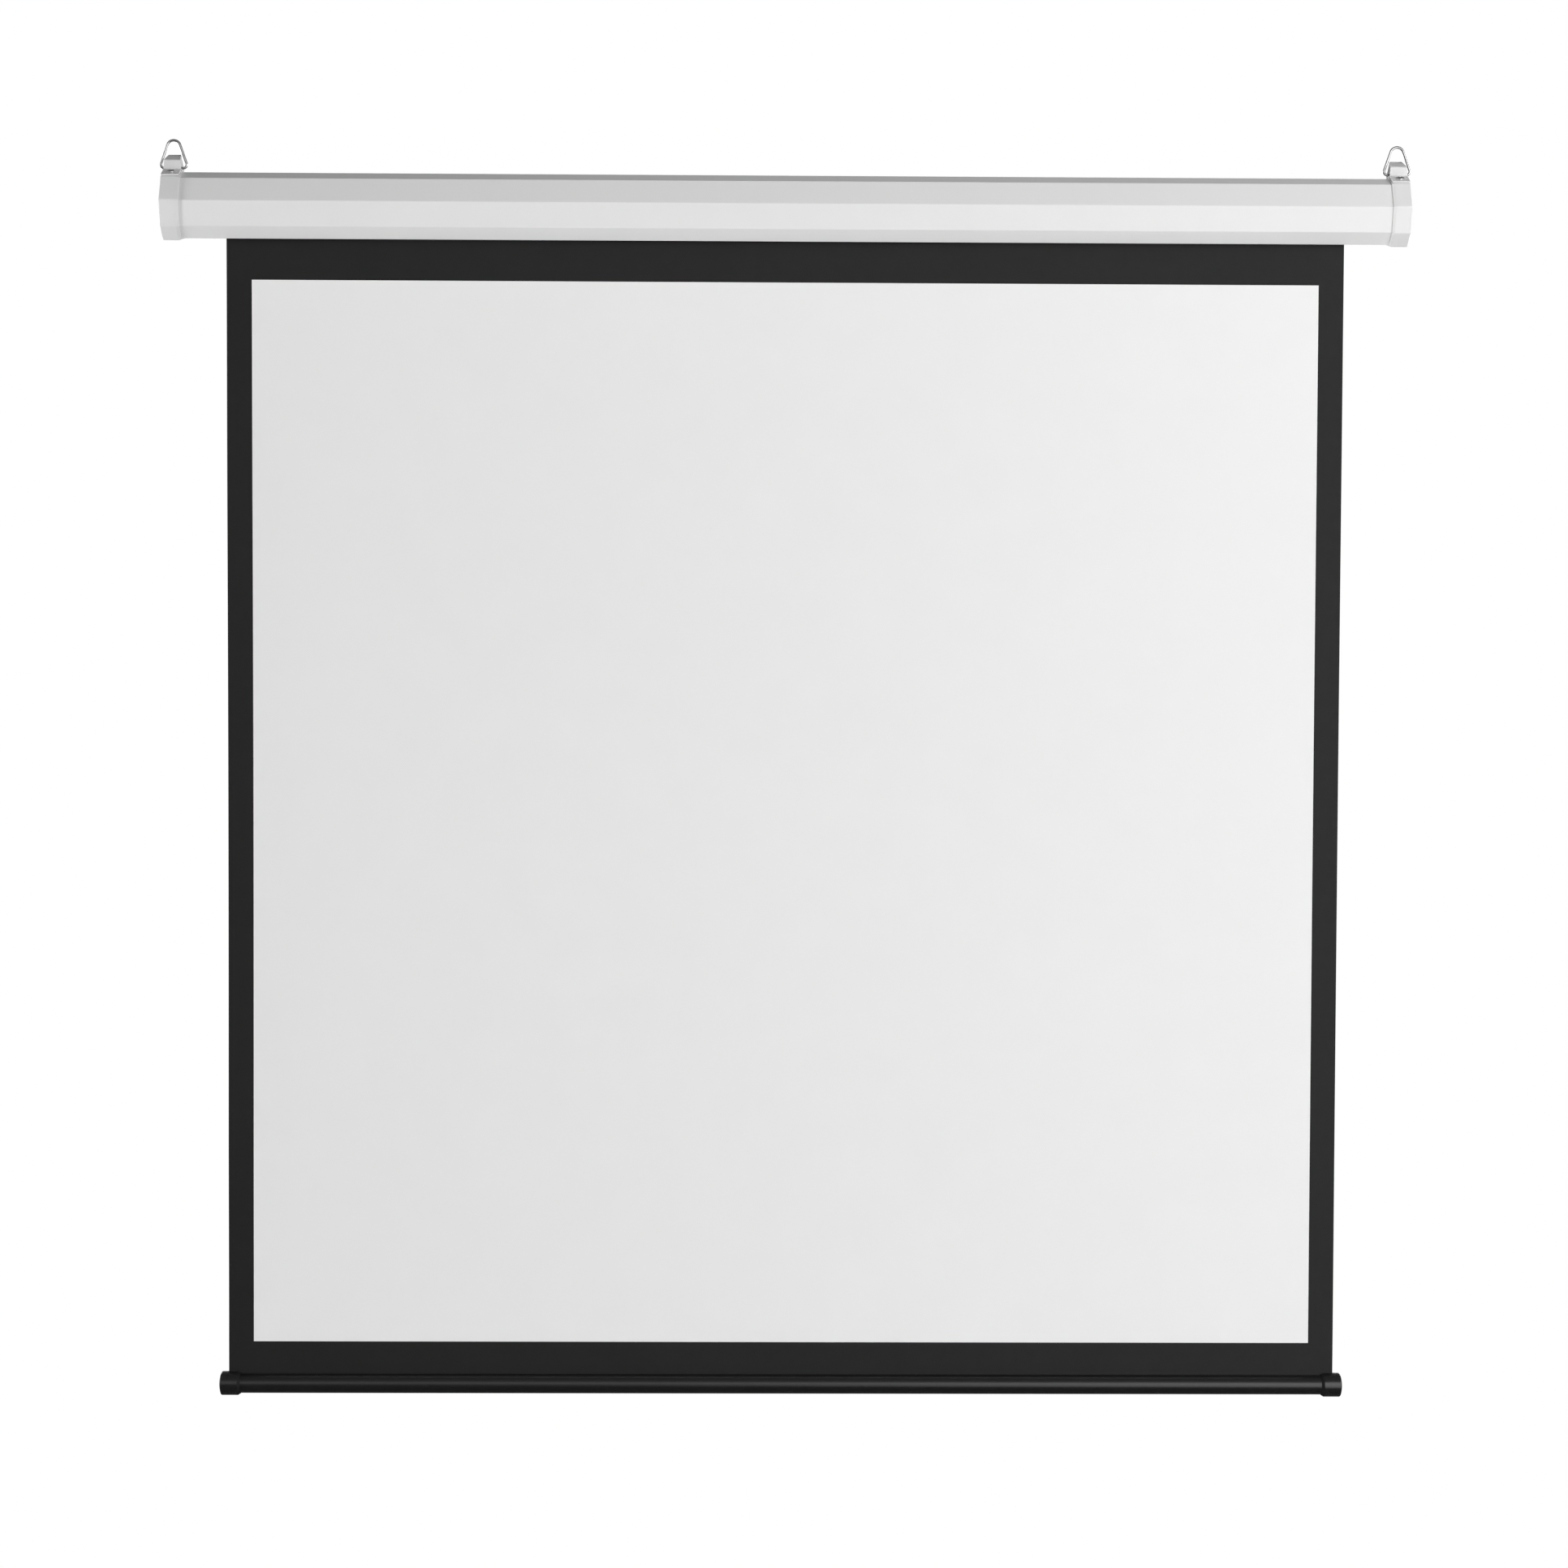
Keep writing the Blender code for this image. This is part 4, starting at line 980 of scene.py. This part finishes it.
def bottom_bar():
    outer = BAR_DIAMETER / 2
    outline = []
    for radius, direction in ((outer, 1), (outer - BAR_WALL, -1)):
        edge = math.asin(BAR_SLOT / 2 / radius)
        sweep = 2 * math.pi - 2 * edge
        angles = [edge + sweep * k / ROUND_SIDES for k in range(ROUND_SIDES + 1)]
        arc = [Vector((radius * math.sin(a), radius * math.cos(a))) for a in angles]
        outline += arc[::direction]
    middle = Vector((FABRIC_Y, BAR_Z))
    section = [middle + point for point in outline]
    obj = loft("bottom_bar_tube", [(-BAR_END_X, section), (BAR_END_X, section)])
    stand_for(settle(obj), "bottom_bar")


def bar_cap(side):
    """A crowned sleeve over the bar's end, slit along its top for the fabric, with a matt bevel in
    a slightly darker black: painted shade.
    """
    name = f"bar_cap_{SIDE_NAMES[side]}"
    outer = BAR_CAP_DIAMETER / 2
    bore = BAR_DIAMETER / 2 + SEAT_GAP
    crown_reach = outer - BAR_CAP_CORNER
    lean = math.atan(2 * BAR_CAP_CROWN / outer)
    crown_edge = crown_reach + BAR_CAP_CORNER * math.sin(lean)
    profile = []
    for k in range(DOME_STEPS):
        share = k / DOME_STEPS
        profile.append((share * crown_edge, -BAR_CAP_CROWN * share**2))
    corner_z = -BAR_CAP_CROWN - BAR_CAP_CORNER * math.cos(lean)
    for k in range(FILLET_STEPS + 1):
        angle = lean + (math.pi / 2 - lean) * k / FILLET_STEPS
        radius = crown_reach + BAR_CAP_CORNER * math.sin(angle)
        profile.append((radius, corner_z + BAR_CAP_CORNER * math.cos(angle)))
    profile += [
        (outer, BAR_CAP_BEVEL - BAR_CAP_LENGTH), (bore + BAR_CAP_RIM, -BAR_CAP_LENGTH),
        (bore, -BAR_CAP_LENGTH), (bore, -BAR_CAP_WALL), (0, -BAR_CAP_WALL),
    ]
    obj = turned(f"{name}_moulding", profile, ROUND_SIDES)
    placed(obj, (side * BAR_CAP_FACE_X, FABRIC_Y, BAR_Z), facing(side))
    slit_start = BAR_CAP_FACE_X - BAR_CAP_LENGTH - CUT_MARGIN
    slit_end = FABRIC_HALF + SLIT_MARGIN
    bm = bmesh.new()
    bmesh.ops.create_cube(bm, size=1)
    bmesh.ops.scale(bm, vec=(slit_end - slit_start, BAR_SLOT, outer), verts=bm.verts)
    slit = mesh_object("slit", bm)
    middle = (side * (slit_start + slit_end) / 2, FABRIC_Y, BAR_Z + bore / 2 + outer / 2)
    carve(obj, placed(slit, middle))
    bevel_start = BAR_CAP_FACE_X - BAR_CAP_LENGTH + BAR_CAP_BEVEL
    # The bevel's faces take the darker matt black, which is painted shade on the bevel.
    for face in obj.data.polygons:
        on_painted_shade_bevel = abs(face.center.x) < bevel_start and abs(face.normal.x) > BEVEL_TILT
        face.material_index = int(on_painted_shade_bevel)
    stand_for(settle(obj, [FINISHES["black_plastic"], SHADED_TEXTURED_BLACK]), name)


# Pieces that stay as the frame has them

def finish_frame():
    for node, obj in NODES.items():
        if not obj.hide_render:
            obj.data.materials.clear()
            obj.data.materials.append(FINISHES[SLOT_OF[node]])


# Stage: floor, world, lamps and camera

FLOOR_DROP = 0.55
FLOOR_SIZE = 60.0
FLOOR_GREY = 0.86
FLOOR_LIFT = 0.7  # how far the floor is turned to white where the shadow lies
SHADOW_REACH = (2.4, 0.95)
SHADOW_CORE = 0.45


def floor():
    """A pale floor that keeps the object's shadow and turns to plain white away from it."""
    bm = bmesh.new()
    bmesh.ops.create_grid(bm, x_segments=1, y_segments=1, size=FLOOR_SIZE / 2)
    obj = mesh_object("floor", bm)
    obj.location.z = CAD_BOX[0].z - FLOOR_DROP
    made = bpy.data.materials.new("pale_floor")
    made.use_nodes = True
    tree = made.node_tree
    tree.nodes.clear()
    place = add_node(tree, "ShaderNodeNewGeometry").outputs["Position"]
    shrink = (1 / SHADOW_REACH[0], 1 / SHADOW_REACH[1], 0)
    scaled = add_node(tree, "ShaderNodeVectorMath", {0: place, 1: shrink}, operation="MULTIPLY")
    away = add_node(tree, "ShaderNodeVectorMath", {0: scaled.outputs["Vector"]}, operation="LENGTH")
    away = away.outputs["Value"]
    inputs = {"Value": away, "From Min": SHADOW_CORE, "From Max": 1.0, "To Min": FLOOR_LIFT}
    far = add_node(tree, "ShaderNodeMapRange", inputs, interpolation_type="SMOOTHSTEP")
    seen = add_node(tree, "ShaderNodeLightPath").outputs["Is Camera Ray"]
    inputs = {0: far.outputs["Result"], 1: seen}
    factor = add_node(tree, "ShaderNodeMath", inputs, operation="MULTIPLY")
    matt = add_node(tree, "ShaderNodeBsdfDiffuse", {"Color": (*grey(FLOOR_GREY), 1)})
    white = add_node(tree, "ShaderNodeEmission", {"Color": WHITE, "Strength": 1.0})
    inputs = {0: factor.outputs["Value"], 1: matt.outputs[0], 2: white.outputs[0]}
    mixed = add_node(tree, "ShaderNodeMixShader", inputs)
    add_node(tree, "ShaderNodeOutputMaterial", {"Surface": mixed.outputs[0]})
    obj.data.materials.append(made)
    obj.visible_glossy = False


AMBIENT = 0.05
# What gloss sees of the studio, as (height of the direction, brightness): a white sweep behind
# the object, and on the viewer's side a dim room with a pale band a little above the eye's level
GLOSS_BEHIND = [(-1.0, 0.10), (-0.3, 0.15), (-0.1, 1.0), (0.1, 1.0), (0.45, 0.16), (1.0, 0.14)]
GLOSS_VIEWER_SIDE = [
    (-1.0, 0.05), (-0.05, 0.06), (0.10, 0.85), (0.38, 0.85), (0.60, 0.16), (1.0, 0.14)
]
GLOSS_TURN = (-0.2, 0.3)  # between these Y of the direction, one side blends into the other


def brightness_ramp(tree, height, stops):
    """The brightness that the stops give at a height from 0 to 1."""
    ramp = add_node(tree, "ShaderNodeValToRGB", {"Fac": height})
    points = ramp.color_ramp.elements
    for _ in stops[2:]:  # a ramp has two points to start with
        points.new(0.5)
    for point, (z, brightness) in zip(points, stops):
        point.position = (z + 1) / 2
        point.color = (*grey(brightness), 1)
    return ramp.outputs["Color"]


def world():
    """White for the camera, the studio for gloss and a little plain light for the rest."""
    studio = bpy.data.worlds.new("studio")
    studio.use_nodes = True
    SCENE.world = studio
    tree = studio.node_tree
    tree.nodes.clear()
    rays = add_node(tree, "ShaderNodeLightPath").outputs
    towards = add_node(tree, "ShaderNodeTexCoord").outputs["Generated"]
    direction = add_node(tree, "ShaderNodeSeparateXYZ", {0: towards}).outputs

    def share(axis, low, high):
        inputs = {"Value": direction[axis], "From Min": low, "From Max": high}
        return add_node(tree, "ShaderNodeMapRange", inputs).outputs["Result"]

    height = share("Z", -1.0, 1.0)
    sides = {
        "Factor": share("Y", *GLOSS_TURN),
        "A": brightness_ramp(tree, height, GLOSS_VIEWER_SIDE),
        "B": brightness_ramp(tree, height, GLOSS_BEHIND),
    }
    gloss_strength = add_node(tree, "ShaderNodeMix", sides).outputs["Result"]
    fill, gloss, white = (
        add_node(tree, "ShaderNodeBackground", {"Color": WHITE, "Strength": strength}).outputs[0]
        for strength in (AMBIENT, gloss_strength, 1.0)
    )
    inputs = {0: rays["Is Glossy Ray"], 1: rays["Is Transmission Ray"]}
    mirrored = add_node(tree, "ShaderNodeMath", inputs, operation="MAXIMUM").outputs["Value"]
    unseen = add_node(tree, "ShaderNodeMixShader", {0: mirrored, 1: fill, 2: gloss}).outputs[0]
    inputs = {0: rays["Is Camera Ray"], 1: unseen, 2: white}
    whole = add_node(tree, "ShaderNodeMixShader", inputs).outputs[0]
    add_node(tree, "ShaderNodeOutputWorld", {"Surface": whole})


LAMP_TARGET = Vector((0, FABRIC_Y, -0.9))
UNREFLECTED = ("key_left", "upper_right")  # lamps that gloss doesn't see
# Each lamp's place, its size and its power in watts
LAMPS = {
    "key_left": ((-8.2, -1.85, -0.85), (0.8, 2.0), 430.0),
    "front_right": ((3.6, -3.60, -0.90), (4.4, 4.4), 74.0),
    "front": ((2.5, -4.60, -0.90), (5.0, 5.0), 126.0),
    "upper_right": ((3.4, -2.60, 2.00), (4.0, 4.0), 94.0),
    "back_left": ((-3.2, 4.20, 0.30), (2.4, 2.4), 90.0),
    "back_right": ((3.2, 4.20, 0.30), (2.4, 2.4), 90.0),
}


def lamps():
    for name, (spot, size, power) in LAMPS.items():
        data = bpy.data.lights.new(name, "AREA")
        data.shape = "RECTANGLE"
        data.size, data.size_y = size
        data.energy = power
        obj = bpy.data.objects.new(name, data)
        SCENE.collection.objects.link(obj)
        obj.visible_camera = False
        obj.visible_glossy = name not in UNREFLECTED
        obj.location = spot
        aim = LAMP_TARGET - Vector(spot)
        obj.rotation_euler = aim.to_track_quat("-Z", "Y").to_euler()


PHOTO_PIXELS = 1932
FOCAL_PIXELS = 3865.6
SENSOR_WIDTH = 36.0
CLIP_END = 200.0
CAMERA_SPOT = (-0.0495, -4.5601, -0.7490)
CAMERA_PITCH = math.radians(-2.078)
CAMERA_YAW = math.radians(0.627)
CAMERA_ROLL = math.radians(0.233)


def camera():
    data = bpy.data.cameras.new("camera")
    data.sensor_width = SENSOR_WIDTH
    data.lens = FOCAL_PIXELS / PHOTO_PIXELS * SENSOR_WIDTH
    data.clip_end = CLIP_END
    obj = bpy.data.objects.new("camera", data)
    SCENE.collection.objects.link(obj)
    level = math.cos(CAMERA_PITCH)
    sideways, forward = math.sin(CAMERA_YAW), math.cos(CAMERA_YAW)
    ahead = Vector((sideways * level, forward * level, math.sin(CAMERA_PITCH)))
    right = Vector((forward, -sideways, 0))
    up = right.cross(ahead)
    rolled_right = right * math.cos(CAMERA_ROLL) + up * math.sin(CAMERA_ROLL)
    rolled_up = up * math.cos(CAMERA_ROLL) - right * math.sin(CAMERA_ROLL)
    turn = Matrix((rolled_right, rolled_up, -ahead)).transposed()
    obj.matrix_world = Matrix.Translation(CAMERA_SPOT) @ turn.to_4x4()
    SCENE.camera = obj


# The scene

camera()
casing_shell()
for end in (LEFT, RIGHT):
    end_cap(end)
    hanging_bracket(end)
    bracket_screw(end)
    hanging_ring(end)
    bar_cap(end)
plate_screws(LEFT, "motor_bracket")
plate_screws(RIGHT, "idler_bracket")
cable_grommet()
fabric()
bottom_bar()
finish_frame()
floor()
world()
lamps()
SCENE.view_settings.view_transform = "Standard"
